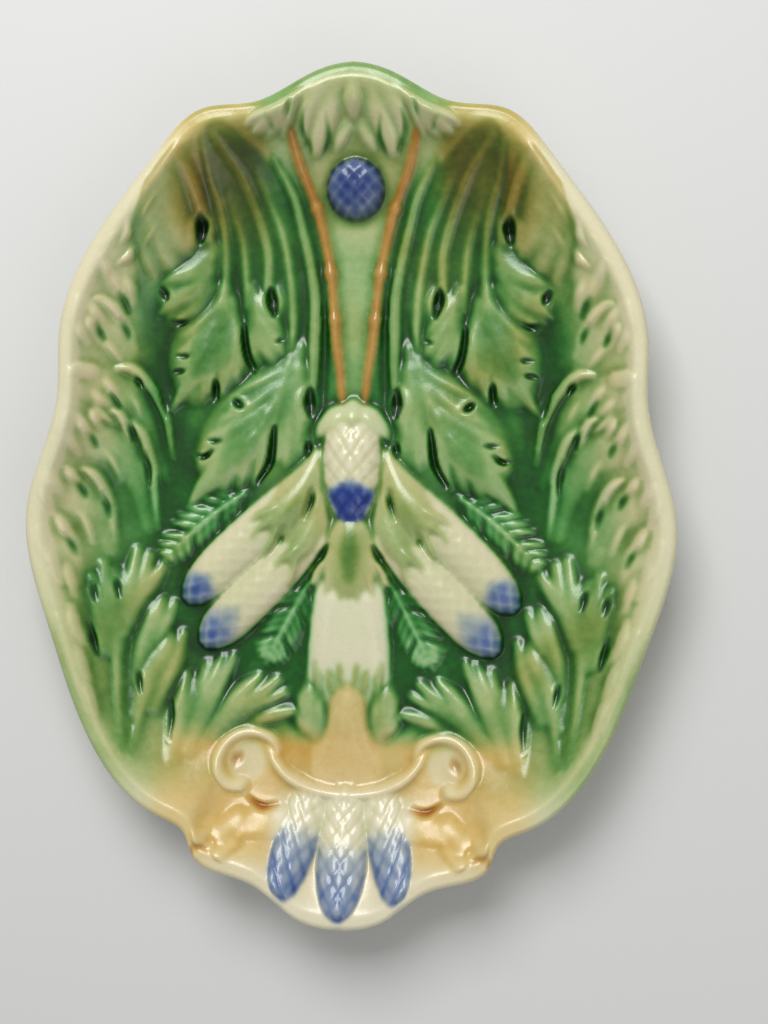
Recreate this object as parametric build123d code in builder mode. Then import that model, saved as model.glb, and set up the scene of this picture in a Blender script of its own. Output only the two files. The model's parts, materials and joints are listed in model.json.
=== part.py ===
from build123d import *
import math
import os

# Oval asparagus plate, lying on its foot: X to the right, Y to the top, Z up, origin under the foot.

# Sizes of the plate in millimetres
plate_length = 265.0
plate_width = 200.0
plate_height = 28.0
floor_length = 150.0
floor_width = 116.0
wall_thickness = 5.5
rim_thickness = 5.0
rim_edge = 3.2
foot_length = 118.0
foot_breadth = 92.0
foot_wall = 5.0
foot_height = 4.0

# How far a relief ornament reaches under the surface before it is cut to the body
seat_depth = 1.6
smallest_scrap = 1.5

floor_top = foot_height + wall_thickness
dish_depth = plate_height - floor_top
back_rise = plate_height - rim_edge - foot_height

# Right half of the rim from top to bottom, in percent of the half width and half length
rim_outline = [
    (0, 100), (14, 97), (30, 91), (46, 89.5), (60, 79.5), (79, 60), (90, 38), (90.5, 23), (99.8, -3),
    (92, -32), (78, -59), (57, -75), (49, -78.5), (46, -84), (28, -90), (13, -98), (0, -100),
]

# Relief fingers on the right half. Each run has points of: percent out, percent up, half width, height
stem_band = [
    [(19.5, 85.5, 1.6, 0.9), (12.4, 68, 1.7, 1.5), (8.5, 54, 1.7, 1.5), (4.6, 23, 1.5, 1)],
]
shoulder_leaf = [
    [(46, 85, 2.4, 0.8), (51, 78, 3.4, 2), (50.5, 70, 3.4, 2.6), (49, 61, 1.8, 1.6)],
    [(51, 83, 3, 0.8), (56.5, 73, 5, 2.6), (57, 63, 5.5, 3.2), (53, 56.5, 1.6, 1.4)],
    [(57, 78, 2.5, 0.8), (63, 67, 4.5, 2.2), (63.5, 57, 4, 2.8), (62, 51.8, 1.2, 1)],
]
fluted_leaf = [
    [(39, 83, 6, 0.7), (33, 70, 11, 1), (27.5, 58, 14, 1.2), (27, 47, 12, 1.2)],
    [(48, 83, 1.4, 0.6), (44, 70, 1.7, 1.6), (40.3, 50, 1.8, 2)],
    [(44, 84.5, 1.6, 0.8), (36, 76, 1.9, 1.8), (30.7, 66, 2, 2.4), (28, 52, 2, 2.6)],
    [(30, 84, 1.5, 0.7), (22, 75, 1.8, 1.5), (16, 62, 2, 2.2), (12.4, 51, 2, 2.2), (12, 27, 1.6, 1.6)],
    [(41.5, 57, 2.2, 2), (48, 52, 4, 3), (55, 47.5, 3.4, 2.8), (60, 42, 1, 0.8)],
    [(40.5, 52, 2.2, 1.8), (42.5, 41.5, 4.6, 3.6), (47.5, 31.5, 5, 4.4), (57.6, 20.3, 0.8, 0.7)],
    [(43, 46, 2.2, 2.2), (49, 40, 3.2, 3.2), (57, 30.5, 0.8, 0.8)],
    [(39, 46, 2.2, 2.2), (38.5, 36, 3.6, 3.4), (42.5, 24.6, 1, 0.9)],
    [(32.5, 50, 2.2, 2), (28, 41.5, 3.6, 3), (21, 36.5, 0.8, 0.8)],
    [(33, 44, 2, 2), (30, 37, 3.2, 3.2), (24, 29.5, 0.8, 0.8)],
]
lower_leaf = [
    [(21, 44, 1.8, 1), (22, 33, 2.6, 2.2), (27, 22, 3.8, 3.4), (34, 12, 4.8, 4.2), (43, 3.5, 4, 3.6),
     (52, -1.5, 0.8, 0.7)],
    [(25, 28, 2.2, 2), (34, 20.8, 3.4, 3), (42.5, 17.3, 2.8, 2.8), (49, 11, 0.9, 0.9)],
    [(30, 19, 2.5, 2.6), (39, 12.5, 3.2, 3.2), (49.3, 5.7, 0.8, 0.8)],
    [(28, 22, 2.2, 2.4), (29.5, 12, 3.2, 3.2), (33.5, 2.3, 0.8, 0.8)],
    [(18, 36, 1.8, 1), (19, 24, 3, 2.2), (20.5, 14, 3.4, 3), (20, 5.5, 1, 0.9)],
]
upper_spear = [
    [(20, 0, 5, 4), (30, -8, 6, 5.4), (42, -18.5, 6.2, 5.4), (48, -23.3, 4.6, 4.2), (51, -25.8, 1.4, 1.4)],
]
lower_spear = [
    [(14, -9, 5, 4), (25, -17.5, 6.2, 5.4), (36, -27, 6.3, 5.4), (42.5, -32.5, 4.8, 4.4),
     (46.5, -36, 1.4, 1.4)],
]
upper_frond = [[(37, -1, 2, 0.8), (46, -7, 4.5, 1.8), (55, -12.5, 4.5, 1.6), (60, -16.5, 0.8, 0.6)]]
lower_frond = [[(14, -20, 1.6, 0.8), (19, -27, 4, 1.8), (24, -34, 4.6, 1.8), (27.5, -40.5, 0.8, 0.6)]]
sprout_1 = [
    [(71, -45, 2.4, 0.8), (70, -35, 4, 2), (69.5, -24, 4.2, 3), (68.8, -14, 0.9, 0.9)],
    [(74, -41, 2, 0.8), (76.5, -30, 3.4, 2), (77.8, -17, 0.8, 0.8)],
]
sprout_2 = [[(66, -38, 2, 0.8), (64, -28, 3.4, 2.6), (61.5, -16.5, 0.9, 0.9)]]
sprout_3 = [[(65, -52, 2, 0.8), (62, -44, 3.6, 2.2), (57.5, -38, 4, 3), (53.5, -31, 0.9, 0.9)]]
sprout_4 = [
    [(54.5, -57, 1.8, 0.8), (53, -51, 3, 2.4), (50.5, -43, 1, 1)],
    [(52, -56, 2, 1), (47, -48, 3, 2.6), (42, -42.5, 3.2, 3), (37, -38, 0.9, 0.9)],
]
sprout_5 = [[(45, -53, 2, 0.8), (38, -49, 3.4, 2.4), (29, -45.5, 3.6, 3), (21.5, -44, 0.9, 0.9)]]
sprout_6 = [[(17, -56, 2, 0.8), (14.5, -50, 2.8, 2), (12.5, -44, 0.9, 0.9)]]
border_leaf_1 = [[(63, 69, 2.5, 0.6), (69, 62, 4.4, 1.8), (73.5, 55, 3.4, 1.8), (74.5, 50.5, 1, 0.8)]]
border_leaf_2 = [
    [(70, 49, 2, 0.8), (76, 45, 4, 2), (79.5, 39, 1.2, 0.8)],
    [(70, 50, 2, 0.8), (70, 44, 3.4, 1.8), (66, 33, 0.9, 0.8)],
]
border_leaf_3 = [[(81, 31, 2.4, 0.8), (75, 28.5, 3.2, 2.2), (68, 25.5, 2.8, 2.4), (60.5, 16, 0.9, 0.8)]]
border_leaf_4 = [[(84, 17.5, 2.2, 0.8), (77, 15.5, 3, 2.2), (70.5, 11.5, 2.4, 2.2), (66.5, 0, 0.9, 0.8)]]
border_leaf_5 = [[(91, 3.5, 2, 0.8), (87, 2.5, 2.8, 2), (82.5, -1, 2.6, 2.4), (78.3, -9, 0.9, 0.8)]]
border_leaf_6 = [[(92, -9, 1.6, 0.8), (89.5, -11.5, 2.2, 1.6), (86, -14, 0.8, 0.8)]]
border_leaf_7 = [[(86.5, -27, 1.6, 0.8), (84, -31, 2.8, 2), (81, -37, 0.9, 0.8)]]
scroll = [
    [(23, -58, 1.2, 1), (26, -56, 1.5, 1.8), (30.5, -55, 1.6, 2), (36, -56.5, 1.7, 2), (40.3, -61, 1.7, 2),
     (39.2, -66.5, 1.7, 2), (35, -68.6, 1.4, 1.6)],
]
bracket = [[(22, -75.5, 3, 1.4), (28, -76.6, 3.6, 2), (36, -78.6, 3, 1.8), (43, -80.5, 0.9, 0.8)]]
lip_spear = [[(16.5, -73, 3.4, 2), (17.2, -79, 4.4, 3.2), (18, -86, 4.5, 3.4), (18.6, -91.2, 1.4, 1.2)]]

# Relief fingers on the middle line
crown_spear = [[(0, 81, 5, 3), (0, 76, 8.3, 5.5), (0, 71, 8.6, 6), (0, 66, 4.5, 3)]]
centre_spear = [[(0, 19, 6, 3), (0, 12, 8.6, 5.6), (0, 4, 8.2, 5.6), (0, -1.5, 5, 4), (0, -5, 1, 1)]]
stalk = [[(0, -21, 8, 3), (0, -28, 10.5, 4), (0, -36, 10.5, 4), (0, -43, 9, 2.4)]]
trunk = [[(0, -44, 4.6, 2.4), (0, -54, 5.5, 2.6), (0, -61, 9, 2), (0, -65.5, 12, 1)]]
lip_spear_centre = [[(0, -73, 4.5, 2.4), (0, -81, 5.4, 3.6), (0, -89, 6.3, 4), (0, -95.8, 2, 1.4)]]

# Relief fingers that cross the middle line, given from the right end to the middle
cap_half = [(10.5, 15.4, 1.4, 1.4), (6, 19, 3.6, 3.8), (0, 20.8, 3.5, 4)]
leaf_yoke_half = [(11, -4, 2, 2), (6, -6.5, 3, 2.8), (0, -7.5, 3, 3)]
well_lip_half = [(25, -60.5, 1, 0.9), (21, -64, 1.7, 1.9), (12, -68, 2, 2.5), (0, -69.3, 2.1, 2.6)]
crown_yoke_half = [(16, 91, 2.6, 1), (8, 92.5, 3, 2), (0, 93, 3.4, 2.6)]

# Relief fingers on the right half that have a twin on the left in the same ornament
crown_lobes = [
    [(5, 94, 3, 1.2), (8, 88, 5, 3.4), (11.5, 80.4, 1.6, 1.2)],
    [(12, 92.5, 2.4, 1), (22, 88.8, 3.4, 2.6), (30, 85.6, 1, 0.8)],
]
bunch_lobes = [
    [(9, 3, 2.6, 2), (11.5, -5, 3.6, 3.4), (15, -11.5, 3.4, 3.2), (17, -17.5, 0.9, 0.9)],
    [(12, 9, 2.8, 1.8), (17, 1, 4, 4), (22, -5, 3.8, 4.2), (26, -9.5, 0.9, 1.5)],
]
bunch_tongue = [(0, -5.5, 3.4, 2.4), (0, -10, 5, 3.6), (0, -17, 4.6, 3.2), (0, -24, 0.9, 0.8)]


def twin(run):
    """The same run on the other side of the middle line."""
    return [(-out, up, half_width, height) for out, up, half_width, height in run]


def whole(half_run):
    """A run across the middle line from its right half."""
    return half_run + twin(half_run[-2::-1])


def plan(out, up):
    """Place in plan of a point given in percent of the half width and half length."""
    return Vector(out / 100 * plate_width / 2, up / 100 * plate_length / 2, 0)


def contour(share, inset=0.0):
    """Points of the level line a share of the way from the floor oval to the rim."""
    left_half = [(-out, up) for out, up in reversed(rim_outline[1:-1])]
    points = []
    for out, up in rim_outline + left_half:
        angle = math.atan2(up, out)
        floor_spot = Vector(floor_width / 2 * math.cos(angle), floor_length / 2 * math.sin(angle), 0)
        spot = floor_spot + (plan(out, up) - floor_spot) * share
        points.append(spot - spot.normalized() * inset)
    return points


def level(height, share, inset=0.0):
    """Closed level face of the dish at a height."""
    with BuildSketch(Plane.XY.offset(height)) as level_face:
        with BuildLine():
            Spline(*contour(share, inset), periodic=True)
        make_face()
    return level_face.sketch


# Level lines of the hollow of the dish: height above the floor, share of the way to the rim
dish_curve = [(0.0, 0.0), (0.1, 0.25), (0.45, 0.62)]
hollow = [level(floor_top + rise * dish_depth, share) for rise, share in dish_curve]
hollow.append(level(plate_height, 1.0, rim_thickness))

# Dished body: the back, the rim band and the hollow of the dish
with BuildPart() as plate_body:
    add(level(foot_height, 0.02))
    add(level(foot_height + 0.1 * back_rise, 0.25))
    add(level(foot_height + 0.45 * back_rise, 0.62))
    add(level(plate_height - rim_edge, 1.0))
    loft()
    extrude(level(plate_height - rim_edge, 1.0), amount=rim_edge)
    loft(hollow, mode=Mode.SUBTRACT)
    lip_edges = plate_body.edges().filter_by_position(Axis.Z, plate_height - 0.01, plate_height + 0.01)
    fillet(lip_edges, rim_thickness * 0.4)
    split(bisect_by=Plane.YZ, keep=Keep.TOP)
    mirror(about=Plane.YZ)
plate_body.part.label = "plate_body"

# Clay under the hollow, the seat that every ornament is cut to, and the whole of it
with BuildPart() as half_seat:
    extrude(level(foot_height, 1.0), amount=plate_height - foot_height)
    loft(hollow, mode=Mode.SUBTRACT)
    split(bisect_by=Plane.YZ, keep=Keep.TOP)
whole_seat = half_seat.part + mirror(half_seat.part, about=Plane.YZ)

# Oval foot ring under the floor
with BuildPart() as foot_ring:
    with BuildSketch():
        Ellipse(foot_breadth / 2, foot_length / 2)
        Ellipse(foot_breadth / 2 - foot_wall, foot_length / 2 - foot_wall, mode=Mode.SUBTRACT)
    extrude(amount=foot_height)
    fillet(foot_ring.faces().sort_by(Axis.Z)[0].edges(), foot_wall * 0.2)
foot_ring.part.label = "foot_ring"


def rim_radius(angle):
    """Distance to the rim, in percent, along an angle measured from the right towards the top."""
    bearings = [math.degrees(math.atan2(up, out)) for out, up in rim_outline]
    radii = [math.hypot(out, up) for out, up in rim_outline]
    for place in range(len(bearings) - 1):
        if bearings[place + 1] <= angle <= bearings[place]:
            part_way = (bearings[place] - angle) / (bearings[place] - bearings[place + 1])
            return radii[place] + (radii[place + 1] - radii[place]) * part_way
    return radii[-1]


def ground(spot):
    """Height of the dish under a point in plan, near enough for a root to start below it."""
    out = abs(spot.X) / plate_width * 200
    up = spot.Y / plate_length * 200
    floor_radius = 50 * (floor_width / plate_width + floor_length / plate_length)
    reach = rim_radius(math.degrees(math.atan2(up, out))) - floor_radius
    share = (math.hypot(out, up) - floor_radius) / reach
    marks = dish_curve + [(1.0, 1.0 - rim_thickness / plate_width * 200 / reach)]
    if share <= 0:
        return floor_top
    rise = 0.0
    for height, mark in marks:
        others = [other for _, other in marks if other != mark]
        rise += height * math.prod((share - other) / (mark - other) for other in others)
    return floor_top + dish_depth * min(max(rise, 0.0), 1.0)


def finger(run):
    """One moulded finger: arched sections lofted along a run, with its root under the surface."""
    spots = [plan(out, up) for out, up, _, _ in run]
    with BuildPart() as moulding:
        for place, (_, _, half_width, height) in enumerate(run):
            spot = spots[place]
            ahead = spots[min(place + 1, len(spots) - 1)]
            behind = spots[max(place - 1, 0)]
            along = (ahead - behind).normalized()
            across = Vector(-along.Y, along.X, 0)
            reach = half_width * math.sqrt((height + seat_depth) / height)
            middle = ground(spot)
            right_root = ground(spot + across * half_width) - middle - seat_depth
            left_root = ground(spot - across * half_width) - middle - seat_depth
            with BuildSketch(Plane((spot.X, spot.Y, middle), x_dir=across, z_dir=along)):
                with BuildLine():
                    Bezier((-reach, left_root), (0, 2 * height - (left_root + right_root) / 2), (reach, right_root))
                    Line((reach, right_root), (-reach, left_root))
                make_face()
        loft()
    return moulding.part


def ornament(runs, twin_runs, seat, covers):
    """Fingers joined into one ornament, cut to the dish and to the ornaments that cover it."""
    one_side = [finger(run) for run in twin_runs]
    other_side = [mirror(shape, about=Plane.YZ) for shape in one_side]
    fingers = [finger(run) for run in runs] + one_side + other_side
    with BuildPart() as piece:
        add(fingers)
        add(seat, mode=Mode.SUBTRACT)
        for cover in covers:
            add(cover, mode=Mode.SUBTRACT)
    kept = [solid for solid in piece.part.solids() if solid.volume > smallest_scrap]
    return Part() + kept


# Ornaments in the order they lie, the ones on top first, each with the ones that cover it
middle_ornaments = [
    ("crown_leaf", [whole(crown_yoke_half)], crown_lobes, []),
    ("crown_spear", crown_spear, [], ["crown_leaf"]),
    ("bunch_cap", [whole(cap_half)], [], []),
    ("centre_spear", centre_spear, [], ["bunch_cap"]),
    ("bunch_leaf", [whole(leaf_yoke_half), bunch_tongue], bunch_lobes, ["centre_spear"]),
    ("stalk", stalk, [], ["bunch_leaf"]),
    ("trunk", trunk, [], []),
    ("well_lip", [whole(well_lip_half)], [], []),
    ("lip_spear_centre", lip_spear_centre, [], []),
]
side_ornaments = [
    ("stem_band", stem_band, []),
    ("upper_spear", upper_spear, ["bunch_leaf"]),
    ("lower_spear", lower_spear, ["bunch_leaf", "upper_spear", "stalk"]),
    ("lower_leaf", lower_leaf, ["bunch_leaf", "upper_spear"]),
    ("fluted_leaf", fluted_leaf, ["lower_leaf", "crown_leaf"]),
    ("shoulder_leaf", shoulder_leaf, ["fluted_leaf"]),
    ("upper_frond", upper_frond, ["upper_spear", "lower_leaf"]),
    ("lower_frond", lower_frond, ["lower_spear", "stalk"]),
    ("sprout_1", sprout_1, []),
    ("sprout_2", sprout_2, ["sprout_1", "upper_frond"]),
    ("sprout_3", sprout_3, []),
    ("sprout_4", sprout_4, []),
    ("sprout_5", sprout_5, ["sprout_4"]),
    ("sprout_6", sprout_6, ["trunk"]),
    ("border_leaf_1", border_leaf_1, ["shoulder_leaf"]),
    ("border_leaf_2", border_leaf_2, []),
    ("border_leaf_3", border_leaf_3, []),
    ("border_leaf_4", border_leaf_4, []),
    ("border_leaf_5", border_leaf_5, []),
    ("border_leaf_6", border_leaf_6, []),
    ("border_leaf_7", border_leaf_7, ["sprout_1"]),
    ("scroll", scroll, []),
    ("lip_spear", lip_spear, []),
    ("bracket", bracket, ["lip_spear"]),
]

placed = {}
pieces = [plate_body.part, foot_ring.part]
for name, runs, twin_runs, covers in middle_ornaments:
    piece = ornament(runs, twin_runs, whole_seat, [placed[cover] for cover in covers])
    placed[name] = piece
    piece.label = name
    pieces.append(piece)
for name, runs, covers in side_ornaments:
    piece = ornament(runs, [], half_seat.part, [placed[cover] for cover in covers])
    placed[name] = piece
    left_piece = mirror(piece, about=Plane.YZ)
    left_piece.label = "left_" + name
    piece.label = "right_" + name
    pieces += [left_piece, piece]

os.makedirs("parts", exist_ok=True)
for piece in pieces:
    export_step(piece, f"parts/{piece.label}.step")
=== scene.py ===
import json
import math

import bmesh
import bpy
import numpy as np
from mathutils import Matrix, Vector
from mathutils.bvhtree import BVHTree


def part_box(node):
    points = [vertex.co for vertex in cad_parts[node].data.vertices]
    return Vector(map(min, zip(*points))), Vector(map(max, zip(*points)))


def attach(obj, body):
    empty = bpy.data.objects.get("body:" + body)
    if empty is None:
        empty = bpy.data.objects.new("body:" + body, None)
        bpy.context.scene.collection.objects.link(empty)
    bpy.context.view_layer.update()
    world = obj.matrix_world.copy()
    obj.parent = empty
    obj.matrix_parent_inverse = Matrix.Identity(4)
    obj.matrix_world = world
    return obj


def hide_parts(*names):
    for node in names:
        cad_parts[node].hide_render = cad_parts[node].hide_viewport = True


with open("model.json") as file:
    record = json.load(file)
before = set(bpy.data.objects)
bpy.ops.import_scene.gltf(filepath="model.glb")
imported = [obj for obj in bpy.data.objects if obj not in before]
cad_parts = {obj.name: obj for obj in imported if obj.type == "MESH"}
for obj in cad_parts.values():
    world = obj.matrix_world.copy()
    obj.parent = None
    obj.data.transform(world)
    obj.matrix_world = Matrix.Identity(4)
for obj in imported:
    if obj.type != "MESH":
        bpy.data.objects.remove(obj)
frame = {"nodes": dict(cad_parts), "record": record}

bl_info = {
    "name": "Asparagus Plate",
    "version": (1, 0, 0),
    "blender": (4, 5, 0),
    "location": "View3D > Sidebar > Plate",
    "description": "Glazed relief, lip and foot of an oval asparagus plate",
    "category": "Object",
}

# One millimetre in metres, and the half sizes in mm of the plain oval
MM = 0.001
HALF_WIDTH = 100.0
HALF_LENGTH = 132.5

# Relief runs on the right half of the plate, mirrored to the left. Each point of a run is:
# percent of the half width, percent of the half length, half width in mm, height in mm
SIDE_RUNS = {
    "stem_band": [
        [(19.3, 84.5, 1.2, .9), (17, 77.6, 1.3, 1.3), (13.8, 71.3, 1.2, 1.2), (11.4, 66, 1.4, 1.5),
         (9.3, 59, 1.2, 1.3), (7.9, 53.4, 1.4, 1.6), (7.2, 48.6, 1.2, 1.3), (6, 38, 1.4, 1.4),
         (4.5, 30, 1.2, 1.2), (3.6, 22.5, 1.2, 1)],
        [(12.6, 69, 1, 1.2), (12.2, 68, 1.9, 1.7), (11.8, 67, 1, 1.2)],
        [(8.1, 54.4, 1, 1.4), (7.9, 53.2, 1.9, 1.9), (7.7, 52, 1, 1.4)],
        [(6.6, 43.4, 1, 1.2), (6.4, 42.2, 1.8, 1.8), (6.2, 41, 1, 1.2)],
    ],
    "shoulder_leaf": [
        [(56, 72, 5, 1.4), (57.5, 63, 7.5, 2.2), (58, 57, 6, 1.8)],
        [(54, 79.5, 2.4, .7), (50.6, 74.5, 2.4, 1.7), (48.4, 69, 2.2, 2.1), (47, 64.5, 1.3, 1.6)],
        [(55, 77, 4.5, .8), (56.5, 68, 5.4, 2), (54.5, 61, 5.2, 2.6), (51.5, 57.2, 1.5, 1.5)],
        [(60, 72, 3.4, .8), (61, 64, 4, 1.9), (59, 57.5, 3.8, 2.2), (56.4, 53.4, 1.3, 1.2)],
        [(64, 66, 2.6, .6), (64.5, 60, 3, 1.4), (63.6, 55, 2.4, 1.6), (62, 51.2, 1, 1)],
        [(60.5, 69.4, 1, 1.6), (63, 66.4, 1.2, 1.8), (65, 63.6, .6, .7)],
        [(61, 62.6, 1, 2.2), (63.4, 59.6, 1.2, 2.1), (64.8, 57, .6, .7)],
    ],
    "fluted_leaf": [
        [(41, 84, 6, .4), (36, 73, 11, .9), (30, 60, 14, 1.3), (29, 48, 12.5, 1.5), (30, 42, 9, 1.5)],
        [(46, 83, 1.2, .6), (44.5, 74.5, 1.4, 1.2), (42, 68, 1.5, 1.6), (40.6, 60, 1.6, 2),
         (40.8, 50, 2, 2.3), (41.5, 44, 2.6, 2.8)],
        [(42.5, 83.5, 1.3, .8), (38.4, 79, 1.4, 1.3), (35, 75, 1.6, 1.7), (31.7, 69, 1.7, 2.1),
         (29.2, 63.4, 1.8, 2.4), (27.3, 57, 1.8, 2.6), (27.5, 50, 1.7, 2.6)],
        [(39.8, 71, 1.2, 1.1), (36.6, 64, 1.4, 1.6), (34.9, 58.6, 1.6, 2), (34.2, 51, 1.7, 2.3),
         (34.2, 45, 1.6, 2.4)],
        [(30.5, 76, 1.2, .9), (26, 68, 1.4, 1.5), (22.9, 62, 1.5, 1.9), (20.5, 52, 1.6, 2.1),
         (19.5, 42, 1.5, 1.9), (20, 35, 1.4, 1.5)],
        [(25, 79, 1.2, .8), (19.5, 71, 1.5, 1.5), (17, 64, 1.6, 1.9), (14.5, 56, 1.7, 2.1),
         (12.6, 47, 1.8, 2.1), (12.6, 37, 1.8, 2), (13, 27, 1.5, 1.6)],
        [(44, 58, 4, 1.8), (49, 52, 6.5, 2.5), (54, 47, 6, 2.5), (57, 43.5, 3, 1.4)],
        [(41, 48, 4, 2.2), (45, 40, 8, 3), (48.5, 33, 9, 3.5), (51, 27, 6, 2.5)],
        [(33, 49, 3, 2), (29, 41, 6, 2.6), (26.5, 36, 5, 2.4), (25.5, 33, 3, 1.5)],
        [(39, 46, 3, 2.3), (39.5, 36, 6.5, 3), (40.5, 30, 6, 2.6)],
        [(46, 64, 1.6, 1.2), (44.6, 58, 2, 1.8), (46, 53, 2.4, 2.2)],
        [(44.5, 57, 2.4, 1.9), (49.5, 53, 3.6, 2.8), (55, 51.6, 2.8, 2.6), (60.3, 50, .9, .8)],
        [(44.5, 54, 2.4, 2), (50, 48.6, 4, 3.2), (56, 46, 3, 2.6), (61, 43.2, .8, .8)],
        [(44.5, 50, 2.4, 2.2), (49.5, 45, 3.2, 3), (54, 42.6, 2.2, 2.2), (57.4, 40.8, .8, .8)],
        [(41, 50, 2.4, 2.2), (42.8, 41.5, 4.2, 3.6), (47.5, 32.5, 5, 4.4), (53, 26, 3, 2.8),
         (57.8, 20.6, .8, .7)],
        [(43, 46, 2.2, 2.4), (48, 41, 3.2, 3.2), (52.5, 38.4, 2.4, 2.5), (55.6, 37.4, .9, .8)],
        [(45, 40, 2.4, 2.8), (50, 36, 3.2, 3.4), (54, 33.5, 2.4, 2.4), (57, 31, .8, .8)],
        [(46, 35, 2.4, 3), (51.5, 30.4, 3, 3.3), (54.6, 28, 2.2, 2.2), (57, 25.6, .8, .7)],
        [(38.5, 47, 2.2, 2.3), (37.6, 37.5, 3.4, 3.4), (37.6, 31, 3, 3), (36.9, 26.6, .9, .9)],
        [(40.5, 42, 2.4, 2.8), (40.8, 32, 3.4, 3.5), (41.4, 26, 2, 2), (41.6, 23.6, .8, .8)],
        [(43, 37, 2.6, 3), (45.8, 28.6, 3.2, 3.3), (48.4, 22.6, .9, .9)],
        [(32.6, 50, 2, 2), (29.2, 44.5, 2.7, 2.7), (25, 41, 2.3, 2.4), (21.2, 37, .8, .8)],
        [(32.6, 46.5, 2.2, 2.2), (28.4, 40.4, 3, 3.2), (24, 36, 2.4, 2.4), (20.8, 32.8, .8, .8)],
        [(33, 43.5, 2, 2.2), (29.6, 37, 3, 3.1), (26, 33, 1.9, 1.9), (24, 30, .8, .8)],
        [(33.4, 41, 1.7, 2), (31.8, 36, 2.2, 2.6), (29.6, 31, .8, .9)],
    ],
    "lower_leaf": [
        [(16, 13, 5, 1.4), (22, 4, 5, 1.6), (30, -2, 4, 1.4)],
        [(22, 31, 4, 1.8), (28, 22, 9, 2.8), (36, 14, 10, 3.3), (43, 8, 6, 2.7)],
        [(17.5, 30, 4, 1.8), (19.5, 18, 6, 2.5), (20.5, 10, 4, 2.1)],
        [(20, 34, 1.8, 1.6), (21, 29, 2.6, 2.2), (24.3, 22.3, 3.4, 3.2), (29, 16, 4.4, 4),
         (35, 10.8, 4.8, 4.2), (43, 4.8, 4, 3.6), (48, 1.4, 2.4, 2.4), (52.2, -2.6, .8, .7)],
        [(23, 30, 2, 1.7), (30, 27.4, 2.3, 2.3), (37.4, 24.4, 1.8, 2), (44.6, 19.4, .8, .8)],
        [(24, 26.5, 2.2, 2.2), (32, 22, 2.8, 2.9), (39, 19.2, 2.6, 2.7), (46, 15.2, .9, .9)],
        [(28, 20.6, 2.5, 2.8), (36.5, 16.6, 3.2, 3.3), (43.5, 14, 2.8, 2.7), (49, 11, .8, .8)],
        [(34, 13.4, 2.5, 3.2), (41, 10.4, 3, 3.1), (45.5, 8.6, 2.4, 2.3), (49.2, 6.6, .8, .7)],
        [(39, 8.4, 2.4, 3.2), (44.4, 5.8, 2.8, 2.8), (50.4, 2, .8, .7)],
        [(27, 20, 2.4, 2.8), (28.6, 11.6, 3.2, 3.3), (30.4, 6, 2, 2), (31.8, 2.4, .8, .8)],
        [(31.5, 14.6, 2.5, 3.4), (34.4, 7, 3, 3.2), (36.4, 1.2, .9, .9)],
        [(36.6, 9.4, 2.4, 3.2), (39.8, 3.8, 2.6, 2.7), (42, -.2, .8, .8)],
        [(17, 36, 1.8, 1.2), (18.4, 26, 2.8, 2.2), (20.4, 16, 3.2, 3), (20.8, 9.6, 2.4, 2.4),
         (20.4, 4.8, .9, .8)],
        [(19.6, 27, 2, 2), (22.8, 17, 2.4, 2.7), (23.4, 10.6, 1.7, 1.9), (22.6, 6.6, .8, .8)],
        [(15.8, 27, 1.8, 1.5), (16.8, 18, 2.4, 2.4), (17.6, 11, 2, 2.1), (17.2, 5.6, .8, .8)],
    ],
    "upper_spear": [
        [(18, 1.6, 6, 4), (30, -8, 7.6, 5.4), (40, -15.6, 7.8, 5.5), (46.4, -20.6, 6.6, 5),
         (50, -23.4, 4, 3.4), (51.8, -24.8, 1.4, 1.3)],
    ],
    "lower_spear": [
        [(12, -9, 6, 4), (25, -19, 7.6, 5.4), (34.6, -26.2, 7.8, 5.5), (40.8, -31, 6.8, 5),
         (44.2, -33.7, 4.2, 3.6), (45.9, -35, 1.4, 1.3)],
    ],
    "sprout_1": [
        [(68.6, -60, 1, .5), (71, -50, 1.2, 1.1), (72.4, -40, 1.6, 1.6), (73, -32, 3.4, 1.9),
         (73, -26, 5, 2.1), (72.4, -21, 4, 1.9)],
        [(75, -36, 3, 1.5), (78, -26, 2.8, 2.1), (80.8, -19.2, 1.4, 1.3)],
        [(75, -30, 2.2, 1.9), (76.2, -23, 1.9, 2.4), (77.8, -16.2, 1.4, 1.3)],
        [(73.6, -30, 2.2, 1.9), (73.8, -23, 1.9, 2.4), (74.6, -18, 1.4, 1.3)],
        [(71, -32, 3, 1.9), (69.4, -23, 3.4, 2.9), (68, -13.2, 1.4, 1.3)],
        [(69, -30, 2.8, 1.9), (66, -21.5, 2.8, 2.8), (64.4, -14.4, 1.4, 1.3)],
        [(68, -28, 2.4, 1.9), (63.4, -21, 2.4, 2.6), (60, -17.2, 1.4, 1.3)],
    ],
    "sprout_2": [
        [(68, -50, 1, .5), (66.4, -43, 1.2, 1.2), (63.6, -35, 3.2, 2.2), (61.4, -29, 3.2, 2.6),
         (60, -25, 1.4, 1.4)],
        [(66.5, -44, 2, .9), (65.4, -36, 2.4, 2), (63.6, -29, 1.8, 2.2), (63, -25.4, 1.4, 1.3)],
        [(63, -40, 2, 1.2), (59.4, -32, 2.4, 2.4), (56.2, -26, 1.4, 1.3)],
    ],
    "sprout_3": [
        [(66, -61, 1, .5), (64.8, -52, 1.3, 1.3), (61.4, -43, 3.4, 2.4), (58.4, -37, 3.4, 2.8),
         (57, -33, 1.4, 1.4)],
        [(65.6, -52, 2.2, 1), (63.4, -43, 2.8, 2.2), (61.6, -33.8, 1.4, 1.3)],
        [(61, -50, 2.4, 1.4), (56.6, -42, 3, 2.6), (53, -33, 1.4, 1.3)],
    ],
    "sprout_4": [
        [(54.4, -62, 2, .6), (53.6, -54, 2.6, 2), (52.4, -47.6, 2.4, 2.4), (51.6, -42.8, 1.4, 1.3)],
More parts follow.
